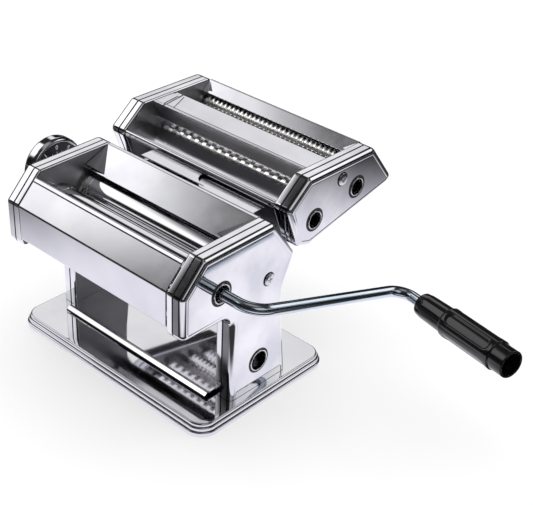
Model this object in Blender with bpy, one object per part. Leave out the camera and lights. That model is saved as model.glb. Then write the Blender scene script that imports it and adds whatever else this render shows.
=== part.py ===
"""Hand cranked pasta machine with a removable double cutter.

Two plain rollers squeeze the dough between a pair of hollow side boxes that stand on a pressed
tray. A crank drives the front roller and a gear pair drives the rear one. A numbered knob turns
a scroll plate that moves the rear roller nearer to the front one. A second head with a wide and
a fine pair of cutting rollers slides onto two rails behind the machine.

Frame: origin at the middle of the tray's underside, +X along the rollers to the crank,
+Y to the rear, where the cutter is, +Z up. Sizes below are in millimetres.
"""
import math

import bmesh
import bpy
from mathutils import Matrix, Vector

MM = 0.001
CLEAR = 0.3           # gap left between two pieces that touch
END_PLAY = 0.5        # gap left at the ends of what turns
TOOL_SPARE = 3.0      # how far a cutting tool runs past what it cuts
ARC_SAG = 1 - math.sqrt(0.5)  # how far a quarter circle's middle lies in, for a radius of 1
LARGE_SIDES = 20      # sides of a large turned piece
SMALL_SIDES = 16      # sides of a small turned piece
PIN_SIDES = 12        # sides of a rod or a pin
CUTTER_SIDES = 8      # sides of a grooved cutting roller
FASTENER_SIDES = 10   # sides of a screw
ARC_STEPS = 2         # steps in each rounded corner of an outline

# Base tray
BASE_MARGIN = 9.1     # of the tray beyond the side covers
BASE_WIDTH = 135.9
BASE_HEIGHT = 9.5
BASE_CORNER = 15.0
BASE_WALL = 1.4
BEAD_HEIGHT = 2.6     # of each of the two beads round the tray's edge
BEAD_SLOPE = 0.9      # height of the slope from one bead to the next
BEAD_STEP = 1.3       # how far each bead stands in from the one below
TRAY_EDGE = 2.3       # radius of the edge round the tray's flat top
UNDERSIDE_THICKNESS = 1.8

# Side boxes: an inner pan and an outer cover, both round the same outline
ROLL_SPAN = 155.2     # between the inner faces of the two side frames
FRAME_DEPTH = 6.25
FRAME_WALL = 1.4
WEB = 1.6
COVER_DEPTH = 9.25
COVER_WALL = 1.4
EDGE_ROUND = 4.6      # how far the cover's rounded edge reaches into its face

# Outline of the main side box
FRONT_Y = -78.3
BODY_FLOOR_Z = 84.0
SLOPE_FOOT_Z = 118.7
SLOPE_TOP_Y = -57.5
SLOPE_TOP_Z = 140.5
REAR_TOP_Y = 10.0
REAR_TOP_Z = 141.5
REAR_CORNER_Y = 33.0
REAR_CORNER_Z = 110.0
WAIST_Y = 22.0
WAIST_Z = 86.0
KNEE_Z = 62.0
LEG_FRONT_Y = -30.5
LEG_REAR_Y = 29.7
KNEE_STEP = 0.5       # of the knee behind the waist
FLOOR_CORNER = 6.0    # radii of the corners, in their order round the outline
SLOPE_FOOT_CORNER = 4.0
SLOPE_TOP_CORNER = 4.0
REAR_TOP_CORNER = 5.0
REAR_CORNER = 5.0
WAIST_CORNER = 16.0
KNEE_CORNER = 30.0
FOOT_CORNER = 1.0     # below the tray's top, where the leg is cut off
LEG_ROOT_CORNER = 10.0

# Rolling pair
FRONT_AXIS_Y = -42.0
AXIS_Z = 108.5
ROLLER_R = 15.1
MAX_GAP = 2.8         # between the rollers on the widest setting
GAP_TRAVEL = 2.4      # how far the knob closes them
DRUM_WALL = 2.6
DRUM_END = 3.1        # from a drum's end to the side frame
DRUM_END_WALL = 4.0
JOURNAL_R = 9.0
GEAR_SEAT_R = 7.0
SHAFT_BORE_R = 4.5
SOCKET_STUB_R = 6.2
SOCKET_PLUG = 5.0     # solid steel beyond the socket's floor
BUSH_WALL = 2.0
BUSH_FLANGE = 1.9
FLANGE_THICKNESS = 1.5
GEAR_FACE = 5.0
GEAR_TEETH = 14
GEAR_ADDENDUM = 0.7   # beyond half the widest distance between the rollers
GEAR_BACKLASH = 0.6
PRESSURE_ANGLE = 20.0
SCRAPER_THICKNESS = 1.0
SCRAPER_REACH = 11.0
SCRAPER_GAP = 0.5     # between a blade and its roller
FRONT_SCRAPER_ANGLE = 225
REAR_SCRAPER_ANGLE = 315
LUG_REACH = 21.0      # from the rear axis to the end of the lug that holds the blade
LUG_HALF_WIDTH = 3.0
ARM_HALF_WIDTH = 3.2  # of the arm that carries the scroll pin
TIE_ROD_R = 3.0
FRONT_TIE = (-68.0, 98.0)
REAR_TIE = (20.0, 104.0)

# Thickness regulator and its knob
SPINDLE_R = 3.0
REGULATOR_TURN = 288.0
SCROLL_R = 23.5
SCROLL_PIN_AT = 20.6
SCROLL_PIN_R = 2.0
SCROLL_THICKNESS = 1.9
SCROLL_GAP = 1.5      # from the cover to the scroll plate
SCROLL_STEPS = 26
SCROLL_SPARE = 8.0    # degrees of slot beyond each end of the pin's way
COLLAR_RIM = 1.8      # the spindle bush's collar, outside the cover
COLLAR_THICKNESS = 1.6
NOSE_LENGTH = 5.6     # of the bush, from the cover outwards
NOSE_TAPER = 0.6
BUSH_TAIL = 0.8       # of the bush, inside the cover
KNOB_R = 25.5
KNOB_NECK_R = 8.4
KNOB_CORE_R = 6.2
KNOB_PULL = 4.0
KNOB_STANDOFF = 28.2  # from the side cover to the knob's dial side
KNOB_DEPTH = 12.8
KNOB_SHOULDER = 8.6   # from the side cover to the end of the knob's neck
KNOB_BACK_WALL = 3.4
SHOULDER_WALL = 2.4
SHOULDER_EDGE = 0.8
SPINDLE_SHORT = 8.2   # from the spindle's end to the knob's back
RETAINER_THICKNESS = 3.0
SPRING_INSET = 0.5    # between the spring and the wall round it
RIM_PROUD = 2.1       # how far the rim stands before the dial's seat
RIM_WALL = 0.6
RIM_EDGE = (1.0, 2.2)  # the rim's slope: along the axis and outwards
BAND = (1.6, 6.8)     # the rim's widest band, behind the dial's seat
BACK_DOME = ((2.6, 2.4), (0.6, 8.0), (0.0, 16.0))  # before the back and in from the rim
DIAL_R = 22.3
DIAL_THICKNESS = 1.4

# Crank
ROD_R = 4.25
ROD_BEND_STEPS = 5
TIP_ACROSS = 6.6      # square end of the crank
TIP_LENGTH = 24.0
CRANK_TILT = -11.0    # degrees the crank hangs below level, turned about its axis
SHANK_LENGTH = 30.6   # from the socket's mouth to the first bend
ARM_LENGTH = 129.0
ARM_ANGLE = 76.4      # degrees from the axis to the arm
GRIP_ANGLE = -13.7    # degrees from the axis to the grip
SHANK_BEND = 24.0
ARM_BEND = 13.0
GRIP_START = 22.6     # from the arm's bend to the grip
GRIP_LENGTH = 89.0
GRIP_R = 11.0
GRIP_NECK_R = 8.2
GRIP_HOLLOW = 12.0
GRIP_EDGE = 0.8
GRIP_TAPER = 26.0     # length of the tapered part next to the arm
GRIP_WAIST = 1.4      # how far the taper's end lies below the ribs
RIB_START = 28.0
RIB_EDGE = 1.0        # length of the slope up to the ribs
RIB_COUNT = 4         # raised ribs along the grip
PANEL_SHARE = 0.5     # of the way round that the hollow panels between them take
PANEL_SLOPE = 4.0     # degrees from a rib's edge down to the panel
PANEL_ANGLE = 48.0    # degrees from the crank's plane to the middle of a panel
PANEL_DEPTH = 0.7
PANEL_INSET = 3.0     # of a panel from each end of the ribs
PANEL_RUN = 1.2       # length over which a panel's end slopes up
COLLAR_START = 13.0   # of the grip's plain end, from the end
COLLAR_DEPTH = 1.1    # how far that end lies below the ribs
GRIP_WALL = 2.0       # round the hollow end
ROD_HEAD = 1.5        # thickness of the head that keeps the grip on
ROD_END = 3.0         # how far the rod passes the hollow's floor

# Sheet covers
SHEET = 1.0
HEM_BEND = 1.5        # radii of the folds
EDGE_BEND = 1.2
BAR_BEND = 1.0
PANEL_BEND = 2.0
TAIL_BEND = 2.5
DOCK_BEND = 0.9
COVER_BOTTOM_Z = 91.0
FRONT_HEM = 9.0       # the front cover's lower edge, turned in
FRONT_LIP = (-3.4, -4.6)      # folds of the sheets, as steps (y, z) from the corner
FRONT_LIP_FOOT = (-0.4, -12.0)  # of the side box, or the axis, that each one follows
HOPPER_FOOT = (-5.0, 19.0)
CREST_FRONT = (-2.6, -1.4)
CREST_REAR = (0.0, -1.2)
SLOPE_END = (-1.4, 0.5)
TAIL_END = (2.0, 7.0)

# Cutter head: its chin stands off the main box's rear corner, and the axes follow the chin
CHIN_STEP = (2.0, 2.0)
WIDE_STEP = (16.0, 16.8)  # from the chin to the wide pair's front axis
FINE_STEP = (46.0, 9.7)   # from there to the fine pair's front axis
HEAD_SCREW_STEP = (28.5, 22.2)

# Cutter head outline, as steps (y, z) from the nearer of those two axes, each with its corner's radius
FRONT_STEP = (-28.6, 16.2, 5.0)
TOP_FRONT_STEP = (-6.6, 34.4, 5.0)
TOP_REAR_STEP = (19.0, 24.7, 6.0)
REAR_STEP = (43.5, -6.5, 4.0)
REAR_LOW_STEP = (37.5, -11.2, 4.0)
FRONT_LOW_STEP = (-4.0, -20.3, 6.0)
CHIN_CORNER = 4.0

# Cutter sheets, as steps (y, z) from the corner of the side box that each fold follows
GUARD_FEED = (21.2, -6.4)
GUARD_BAR_REAR = (5.1, 1.7)
GUARD_BAR_FRONT = (2.6, 1.2)
GUARD_FOOT = (-0.4, 3.0)
GUARD_HEM = (5.0, 0.2)
ROOF_WALL_FOOT = (16.1, -16.0)
ROOF_FRONT = (10.1, -1.4)
ROOF_REAR = (35.6, -1.4)
ROOF_HEM = (35.6, -4.6)
PANEL_FEED = (-7.7, -8.7)
PANEL_TOP = (1.3, -1.0)
PANEL_FOOT = (-1.0, 0.6)
PANEL_HEM = (-0.6, 1.6)

# Cutting rollers
PAIR_DISTANCE = 18.03
PAIR_TILT = 12.5      # degrees the second roller of a pair lies above the first
LAND_R = 10.2
CORE_R = 7.2
LAND_END = 3.0        # from the last land to the side frame, or more
CUTTER_SHOULDER = 0.9  # of the core beyond the lands
CUTTER_JOURNAL_R = 4.6
CUTTER_STUB_R = 5.9
WIDE_PITCH = 8.2
FINE_PITCH = 4.5
LAND_CLEAR = 0.25
COMB_THICKNESS = 0.8
COMB_REACH = 14.5
COMB_TIP_GAP = 0.5
COMB_ROOT_GAP = 0.7
FRONT_COMB_ANGLE = 235
REAR_COMB_ANGLE = 300
CUTTER_GEAR_TEETH = 12
CUTTER_ADDENDUM = 0.9
CUTTER_DEDENDUM = 1.6
CUTTER_BACKLASH = 0.36

# Docking plate and rails
DOCK_HALF = 40.0
DOCK_THICKNESS = 1.2
DOCK_START = 4.0
DOCK_LENGTH = 30.0
DOCK_STANDOFF = 1.2   # from the machine's rear slope to the plate
DOCK_FOLD = (1.6, 0.6)  # the fold's near and far edge, short of the plate's end
DOCK_LEAF = 10.0
RAIL_START = 2.0
RAIL_LIP = 2.5
RAIL_LIP_THICKNESS = 0.8
RAIL_WIDTH = 4.0
STOP_GAP = 1.4        # from the plate's end to the rails' stops
STOP_LENGTH = 1.0

# Small fasteners and rings
SCREW_HEAD_R = 4.7
SCREW_HEAD = 0.9
SCREW_EDGE = 0.6
SCREW_R = 1.9
RIGHT_SCREW = (5.0, 99.3)
LEFT_SCREW = (-63.0, 98.0)
CLAMP_HOLE = (-2.0, 32.7)
CLAMP_RING_R = 8.9
CLAMP_BORE_R = 6.5
RING_WALL = 1.9
CUTTER_RING_WALL = 1.4
RING_DEPTH = 3.5
RING_PROUD = 0.8
RING_EDGE = 0.5


def step_from(corner, step):
    """Point a step (y, z) away from a corner."""
    return corner[0] + step[0], corner[1] + step[1]


# Places worked out from the sizes above
INNER_X = ROLL_SPAN / 2
SEAM_X = INNER_X + FRAME_DEPTH
OUTER_X = SEAM_X + CLEAR + COVER_DEPTH
BASE_LENGTH = 2 * (OUTER_X + BASE_MARGIN)
COVER_INSIDE_X = OUTER_X - COVER_WALL
FOOT_Z = BASE_HEIGHT + CLEAR
REAR_AXIS_Y = FRONT_AXIS_Y + 2 * ROLLER_R + MAX_GAP
FRONT_AXIS = (FRONT_AXIS_Y, AXIS_Z)
REAR_AXIS = (REAR_AXIS_Y, AXIS_Z)
DRUM_HALF = INNER_X - DRUM_END
LAND_REACH = INNER_X - LAND_END
BUSH_BORE_R = JOURNAL_R + CLEAR
BUSH_R = BUSH_BORE_R + BUSH_WALL
FLANGE_R = BUSH_R + BUSH_FLANGE
BUSH_START_X = DRUM_HALF + END_PLAY
FLANGE_X = INNER_X + WEB + CLEAR
FLANGE_END_X = FLANGE_X + FLANGE_THICKNESS
GEAR_X = FLANGE_END_X + END_PLAY
GEAR_END_X = GEAR_X + GEAR_FACE
SHAFT_END_X = GEAR_END_X + END_PLAY
SOCKET_MOUTH_X = OUTER_X - 0.8
SOCKET_ACROSS = TIP_ACROSS + 2 * CLEAR
CRANK_RING_R = SOCKET_STUB_R + CLEAR + RING_WALL
CUTTER_RING_R = CUTTER_STUB_R + CLEAR + CUTTER_RING_WALL
SCROLL_X = COVER_INSIDE_X - SCROLL_GAP
SHEET_SPAN = INNER_X - CLEAR
CREST = step_from((REAR_TOP_Y, REAR_TOP_Z), CREST_REAR)
SLOPE_FOOT = step_from((REAR_CORNER_Y, REAR_CORNER_Z), SLOPE_END)
HEAD_CHIN = step_from((REAR_CORNER_Y, REAR_CORNER_Z), CHIN_STEP)
WIDE_AXIS = step_from(HEAD_CHIN, WIDE_STEP)
FINE_AXIS = step_from(WIDE_AXIS, FINE_STEP)
HEAD_SCREW = step_from(WIDE_AXIS, HEAD_SCREW_STEP)
HEAD_FRONT = step_from(WIDE_AXIS, FRONT_STEP)
HEAD_TOP_FRONT = step_from(WIDE_AXIS, TOP_FRONT_STEP)
HEAD_TOP_REAR = step_from(FINE_AXIS, TOP_REAR_STEP)
HEAD_REAR = step_from(FINE_AXIS, REAR_STEP)
HEAD_REAR_LOW = step_from(FINE_AXIS, REAR_LOW_STEP)
HEAD_FRONT_LOW = step_from(WIDE_AXIS, FRONT_LOW_STEP)


def material(name, colour, roughness, metallic):
    made = bpy.data.materials.new(name)
    made.use_nodes = True
    shader = made.node_tree.nodes["Principled BSDF"]
    shader.inputs["Base Color"].default_value = (*colour, 1.0)
    shader.inputs["Roughness"].default_value = roughness
    shader.inputs["Metallic"].default_value = metallic
    return made


def add_mesh(name, points, faces, finish, origin=(0.0, 0.0, 0.0)):
    """Make one closed object from points in millimetres, with its origin where asked."""
    shift = Vector(origin)
    mesh = bpy.data.meshes.new(name)
    shape = bmesh.new()
    made = [shape.verts.new((Vector(p) - shift) * MM) for p in points]
    for face in faces:
        shape.faces.new([made[i] for i in face])
    bmesh.ops.recalc_face_normals(shape, faces=shape.faces)
    shape.to_mesh(mesh)
    shape.free()
    mesh.shade_smooth()
    mesh.set_sharp_from_angle(angle=math.radians(32))
    piece = bpy.data.objects.new(name, mesh)
    piece.location = shift * MM
    bpy.context.scene.collection.objects.link(piece)
    if finish:
        mesh.materials.append(finish)
    return piece


def loft(name, rings, finish, origin=(0.0, 0.0, 0.0), closed=False):
    """Skin between rings of equal point count, with both ends capped or the last ring joined to the first."""
    count = len(rings[0])
    points = [p for ring in rings for p in ring]
    faces = []
    for row in range(len(rings) if closed else len(rings) - 1):
        after = (row + 1) % len(rings)
        for i in range(count):
            j = (i + 1) % count
            faces.append((row * count + i, row * count + j, after * count + j, after * count + i))
    if not closed:
        faces.append(tuple(range(count)))
        faces.append(tuple((len(rings) - 1) * count + i for i in range(count)))
    return add_mesh(name, points, faces, finish, origin)


def turned(name, profile, axis, finish, sides=LARGE_SIDES, ring=False):
    """Turn a profile of (x, radius) about a line along X through axis (y, z).

    A radius of 0 closes an end on the axis. With ring, the profile is a closed loop.
    """
    points = []
    rows = []
    for x, radius in profile:
        if radius == 0:
            rows.append([len(points)])
            points.append((x, axis[0], axis[1]))
            continue
        rows.append([len(points) + i for i in range(sides)])
        for i in range(sides):
            angle = 2 * math.pi * (i + 0.5) / sides
            points.append((x, axis[0] + radius * math.cos(angle), axis[1] + radius * math.sin(angle)))
    pairs = list(zip(rows, rows[1:]))
    if ring:
        pairs.append((rows[-1], rows[0]))
    faces = []
    for low, high in pairs:
        for i in range(sides):
            j = (i + 1) % sides
            if len(low) == 1:
                faces.append((low[0], high[j], high[i]))
            elif len(high) == 1:
                faces.append((low[i], low[j], high[0]))
            else:
                faces.append((low[i], low[j], high[j], high[i]))
    return add_mesh(name, points, faces, finish, (0.0, axis[0], axis[1]))


def prism(name, outline, x_low, x_high, finish, origin=(0.0, 0.0, 0.0)):
    """Extrude an outline of (y, z) points along X."""
    rings = [[(x, y, z) for y, z in outline] for x in (x_low, x_high)]
    return loft(name, rings, finish, origin)


def block(name, low, high, finish=None):
    outline = [(low[1], low[2]), (high[1], low[2]), (high[1], high[2]), (low[1], high[2])]
    return prism(name, outline, low[0], high[0], finish)


def disc_outline(axis, radius, sides=LARGE_SIDES):
    steps = [2 * math.pi * (i + 0.5) / sides for i in range(sides)]
    return [(axis[0] + radius * math.cos(a), axis[1] + radius * math.sin(a)) for a in steps]


def use_tool(target, tool, operation):
    """Cut a tool out of a piece, or join it on, and keep the tool out of sight."""
    step = target.modifiers.new(operation.lower(), "BOOLEAN")
    step.operation = operation
    step.solver = "EXACT"
    step.object = tool
    tool.hide_render = True
    tool.display_type = "WIRE"


def cut(target, tool):
    use_tool(target, tool, "DIFFERENCE")


def join(target, tool):
    use_tool(target, tool, "UNION")


def drill(target, name, axis, radius, x_low, x_high, sides=SMALL_SIDES):
    cut(target, prism("cut_" + name, disc_outline(axis, radius, sides), x_low, x_high, None))


def side_range(side, near_x, far_x):
    """Two x values as a rising pair, mirrored for the left side."""
    return sorted((side * near_x, side * far_x))


def unit(a, b):
    return (Vector(b) - Vector(a)).normalized()


def inset_corners(corners, inset):
    """Move every side of a closed outline inwards and keep its round corners concentric."""
    flat = [Vector(c[:2]) for c in corners]
    count = len(flat)
    area = sum(flat[i].x * flat[(i + 1) % count].y - flat[(i + 1) % count].x * flat[i].y
               for i in range(count))
    side = 1.0 if area > 0 else -1.0
    moved = []
    for i in range(count):
        before = unit(flat[i - 1], flat[i])
        after = unit(flat[i], flat[(i + 1) % count])
        turn = before.x * after.y - before.y * after.x
        in_before = Vector((-before.y, before.x)) * side
        in_after = Vector((-after.y, after.x)) * side
        middle = (in_before + in_after).normalized()
        point = flat[i] + middle * (inset / middle.dot(in_before))
        convex = turn * side > 0
        radius = max(corners[i][2] - inset, 0.4) if convex else corners[i][2] + inset
        moved.append((point.x, point.y, radius))
    return moved


def fillet(before, here, after, radius, steps):
    """Points of the arc that rounds the corner at here."""
    back = unit(here, before)
    ahead = unit(here, after)
    half = math.acos(max(-1.0, min(1.0, back.dot(ahead)))) / 2
    reach = radius / math.tan(half)
    room = 0.47 * min((Vector(before) - Vector(here)).length, (Vector(after) - Vector(here)).length)
    reach = min(reach, room)
    radius = reach * math.tan(half)
    centre = Vector(here) + (back + ahead).normalized() * (radius / math.sin(half))
    start = Vector(here) + back * reach - centre
    end = Vector(here) + ahead * reach - centre
    sweep = start.angle_signed(end)
    points = []
    for i in range(steps + 1):
        turn = -sweep * i / steps
        c = math.cos(turn)
        s = math.sin(turn)
        points.append((centre.x + c * start.x - s * start.y, centre.y + s * start.x + c * start.y))
    return points


def rounded(corners, inset=0.0, steps=ARC_STEPS):
    """Closed outline with its corners (a, b, radius) rounded."""
    moved = inset_corners(corners, inset)
    count = len(moved)
    outline = []
    for i in range(count):
        outline += fillet(moved[i - 1][:2], moved[i][:2], moved[(i + 1) % count][:2], moved[i][2], steps)
    return outline


def bent_path(corners, steps=ARC_STEPS):
    """Open path with its inner corners rounded."""
    path = [tuple(corners[0][:2])]
    for i in range(1, len(corners) - 1):
        path += fillet(corners[i - 1][:2], corners[i][:2], corners[i + 1][:2], corners[i][2], steps)
    path.append(tuple(corners[-1][:2]))
    return path


def sheet_outline(corners, thickness):
    """Outline of a folded sheet whose middle follows the corners (y, z, bend radius)."""
    path = [Vector(p) for p in bent_path(corners)]
    left = []
    right = []
    for i, point in enumerate(path):
        before = unit(path[i - 1], point) if i else None
        after = unit(point, path[i + 1]) if i < len(path) - 1 else None
        before = before or after
        after = after or before
        side = (Vector((-before.y, before.x)) + Vector((-after.y, after.x))).normalized()
        reach = thickness / 2 / side.dot(Vector((-after.y, after.x)))
        left.append(point + side * reach)
        right.append(point - side * reach)
    return [tuple(p) for p in left + right[::-1]]


def sheet(name, corners, thickness, span, finish):
    return prism(name, sheet_outline(corners, thickness), -span, span, finish)


def main_corners():
    """Corners (y, z, radius) of the main side box, with the leg run on below the tray's top."""
    below = FOOT_Z - 2 * EDGE_ROUND
    return [
        (FRONT_Y, BODY_FLOOR_Z, FLOOR_CORNER),
        (FRONT_Y, SLOPE_FOOT_Z, SLOPE_FOOT_CORNER),
        (SLOPE_TOP_Y, SLOPE_TOP_Z, SLOPE_TOP_CORNER),
        (REAR_TOP_Y, REAR_TOP_Z, REAR_TOP_CORNER),
        (REAR_CORNER_Y, REAR_CORNER_Z, REAR_CORNER),
        (WAIST_Y, WAIST_Z, WAIST_CORNER),
        (WAIST_Y + KNEE_STEP, KNEE_Z, KNEE_CORNER),
        (LEG_REAR_Y, below, FOOT_CORNER),
        (LEG_FRONT_Y, below, FOOT_CORNER),
        (LEG_FRONT_Y, BODY_FLOOR_Z, LEG_ROOT_CORNER),
    ]


def head_corners():
    """Corners (y, z, radius) of the cutter head's side box."""
    return [
        (*HEAD_FRONT, FRONT_STEP[2]),
        (*HEAD_TOP_FRONT, TOP_FRONT_STEP[2]),
        (*HEAD_TOP_REAR, TOP_REAR_STEP[2]),
        (*HEAD_REAR, REAR_STEP[2]),
        (*HEAD_REAR_LOW, REAR_LOW_STEP[2]),
        (*HEAD_FRONT_LOW, FRONT_LOW_STEP[2]),
        (*HEAD_CHIN, CHIN_CORNER),
    ]


def side_frame(name, side, corners, finish):
    """Inner pan: a web next to the rollers with a wall turned outwards all round."""
    steps = [
        (INNER_X + WEB, FRAME_WALL),
        (SEAM_X, FRAME_WALL),
        (SEAM_X, 0.0),
        (INNER_X + WEB, 0.0),
        (INNER_X, WEB),
    ]
    rings = [[(side * x, y, z) for y, z in rounded(corners, inset)] for x, inset in steps]
    return loft(name, rings, finish)


def side_cover(name, side, corners, finish):
    """Outer cover: a flat face with a large round edge and an open back."""
    steps = [
        (COVER_INSIDE_X, EDGE_ROUND),
        (COVER_INSIDE_X - EDGE_ROUND + COVER_WALL, COVER_WALL),
        (SEAM_X + CLEAR, COVER_WALL),
        (SEAM_X + CLEAR, 0.0),
        (OUTER_X - EDGE_ROUND, 0.0),
        (OUTER_X - ARC_SAG * EDGE_ROUND, ARC_SAG * EDGE_ROUND),
        (OUTER_X, EDGE_ROUND),
    ]
    rings = [[(side * x, y, z) for y, z in rounded(corners, inset)] for x, inset in steps]
    return loft(name, rings, finish)


def trim_foot(piece, name, side):
    """Cut a leg off level with the tray it stands on."""
    low_x, high_x = side_range(side, INNER_X - TOOL_SPARE, OUTER_X + TOOL_SPARE)
    low = (low_x, LEG_FRONT_Y - TOOL_SPARE, FOOT_Z - 3 * EDGE_ROUND)
    cut(piece, block("cut_foot_" + name, low, (high_x, LEG_REAR_Y + TOOL_SPARE, FOOT_Z)))


def base_pieces(chrome, plastic):
    """Pressed tray with two beads round its edge, and the plate that closes it below."""
    half_x = BASE_LENGTH / 2
    half_y = BASE_WIDTH / 2
    corners = [(-half_x, -half_y, BASE_CORNER), (half_x, -half_y, BASE_CORNER),
               (half_x, half_y, BASE_CORNER), (-half_x, half_y, BASE_CORNER)]
    side_inset = 2 * BEAD_STEP
    steps = [
        (BASE_HEIGHT - BASE_WALL, side_inset + TRAY_EDGE),
        (BASE_HEIGHT - TRAY_EDGE, side_inset + BASE_WALL),
        (BEAD_HEIGHT, BASE_WALL),
        (0.0, BASE_WALL),
        (0.0, 0.0),
        (BEAD_HEIGHT, 0.0),
        (BEAD_HEIGHT + BEAD_SLOPE, BEAD_STEP),
        (2 * BEAD_HEIGHT + BEAD_SLOPE, BEAD_STEP),
        (BASE_HEIGHT - TRAY_EDGE, side_inset),
        (BASE_HEIGHT - ARC_SAG * TRAY_EDGE, side_inset + ARC_SAG * TRAY_EDGE),
        (BASE_HEIGHT, side_inset + TRAY_EDGE),
    ]
    rings = [[(x, y, z) for x, y in rounded(corners, inset, 2 * ARC_STEPS)] for z, inset in steps]
    loft("base_tray", rings, chrome)
    plate = rounded(corners, BASE_WALL + CLEAR, 2 * ARC_STEPS)
    loft("base_underside", [[(x, y, z) for x, y in plate] for z in (0.0, UNDERSIDE_THICKNESS)], plastic)


def side_boxes(chrome, steel):
    """Frames and covers on both sides, with their bearing, knob, crank and clamp holes."""
    corners = main_corners()
    slot_end = (REAR_AXIS_Y - GAP_TRAVEL, AXIS_Z)
    for label, side in (("left", -1), ("right", 1)):
        frame = side_frame("side_frame_" + label, side, corners, chrome)
        cover = side_cover("side_cover_" + label, side, corners, chrome)
        trim_foot(frame, "frame_" + label, side)
        trim_foot(cover, "cover_" + label, side)
        web = side_range(side, INNER_X - TOOL_SPARE, INNER_X + TOOL_SPARE)
        hole_r = BUSH_R + CLEAR
        drill(frame, "front_bearing_" + label, FRONT_AXIS, hole_r, *web, LARGE_SIDES)
        quarter = LARGE_SIDES // 4
        near = disc_outline(slot_end, hole_r)
        far = disc_outline(REAR_AXIS, hole_r)
        slot = near[quarter:3 * quarter] + far[3 * quarter:] + far[:quarter]
        cut(frame, prism("cut_rear_slot_" + label, slot, *web, None))
        place = RIGHT_SCREW if side > 0 else LEFT_SCREW
        screw_holes(frame, cover, "side_" + label, side, place)
        screw("side_screw_" + label, side, place, steel)
        face = side_range(side, OUTER_X - TOOL_SPARE, OUTER_X + TOOL_SPARE)
        if side > 0:
            drill(cover, "crank_hole", FRONT_AXIS, CRANK_RING_R + CLEAR, *face, LARGE_SIDES)
            drill(cover, "clamp_hole", CLAMP_HOLE, CLAMP_RING_R + CLEAR, *face, LARGE_SIDES)
        else:
            drill(cover, "spindle_hole", REAR_AXIS, KNOB_CORE_R + CLEAR, *face)
    cover_ring("crank_ring", FRONT_AXIS, SOCKET_STUB_R + CLEAR, CRANK_RING_R, steel)
    cover_ring("clamp_eyelet", CLAMP_HOLE, CLAMP_BORE_R, CLAMP_RING_R, steel)


def screw_holes(frame, cover, name, side, place):
    """Holes for a screw through a cover and the frame behind it."""
    through = side_range(side, INNER_X - TOOL_SPARE, OUTER_X + TOOL_SPARE)
    drill(frame, name + "_frame_screw", place, SCREW_R + CLEAR, *through, PIN_SIDES)
    drill(cover, name + "_cover_screw", place, SCREW_R + CLEAR, *through, PIN_SIDES)


def screw(name, side, place, finish):
    """Machine screw through a cover and the frame behind it."""
    tip_x = INNER_X + CLEAR
    head_x = OUTER_X + CLEAR
    profile = [
        (side * tip_x, 0),
        (side * tip_x, SCREW_R),
        (side * head_x, SCREW_R),
        (side * head_x, SCREW_HEAD_R),
        (side * (head_x + SCREW_HEAD), SCREW_HEAD_R - SCREW_EDGE),
        (side * (head_x + SCREW_HEAD), 0),
    ]
    turned(name, profile, place, finish, FASTENER_SIDES)


def cover_ring(name, place, bore, outer, finish):
    """Eyelet set in a hole of the right cover."""
    high = OUTER_X + RING_PROUD
    low = high - RING_DEPTH
    profile = [(low, bore), (low, outer), (high - RING_EDGE, outer), (high, outer - RING_EDGE), (high, bore)]
    turned(name, profile, place, finish, SMALL_SIDES, ring=True)


def body_sheets(chrome):
    """Front cover with its hem and lip, and rear cover with the hopper's wall and the slope."""
    half = SHEET / 2
    front = [
        (FRONT_Y + FRONT_HEM, COVER_BOTTOM_Z, 0),
        (FRONT_Y + half, COVER_BOTTOM_Z, HEM_BEND),
        (FRONT_Y + half, SLOPE_FOOT_Z, HEM_BEND),
        (*step_from((SLOPE_TOP_Y, SLOPE_TOP_Z), FRONT_LIP), EDGE_BEND),
        (*step_from((SLOPE_TOP_Y, SLOPE_TOP_Z), FRONT_LIP_FOOT), 0),
    ]
    sheet("front_cover", front, SHEET, SHEET_SPAN, chrome)
    rear = [
        (*step_from(REAR_AXIS, HOPPER_FOOT), 0),
        (*step_from((REAR_TOP_Y, REAR_TOP_Z), CREST_FRONT), EDGE_BEND),
        (*CREST, EDGE_BEND),
        (*SLOPE_FOOT, TAIL_BEND),
        (*step_from((WAIST_Y, WAIST_Z), TAIL_END), 0),
    ]
    sheet("rear_cover", rear, SHEET, SHEET_SPAN, chrome)


def tie_rods(steel):
    for name, place in (("tie_rod_front", FRONT_TIE), ("tie_rod_rear", REAR_TIE)):
        ends = [(-SHEET_SPAN, 0), (-SHEET_SPAN, TIE_ROD_R), (SHEET_SPAN, TIE_ROD_R), (SHEET_SPAN, 0)]
        turned(name, ends, place, steel, PIN_SIDES)


def square_socket(target, name, axis, deep_x):
    """Square hole for the crank in the right end of a shaft."""
    half = SOCKET_ACROSS / 2
    low = (deep_x, axis[0] - half, axis[1] - half)
    high = (OUTER_X + TOOL_SPARE, axis[0] + half, axis[1] + half)
    cut(target, block("cut_socket_" + name, low, high))


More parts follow.
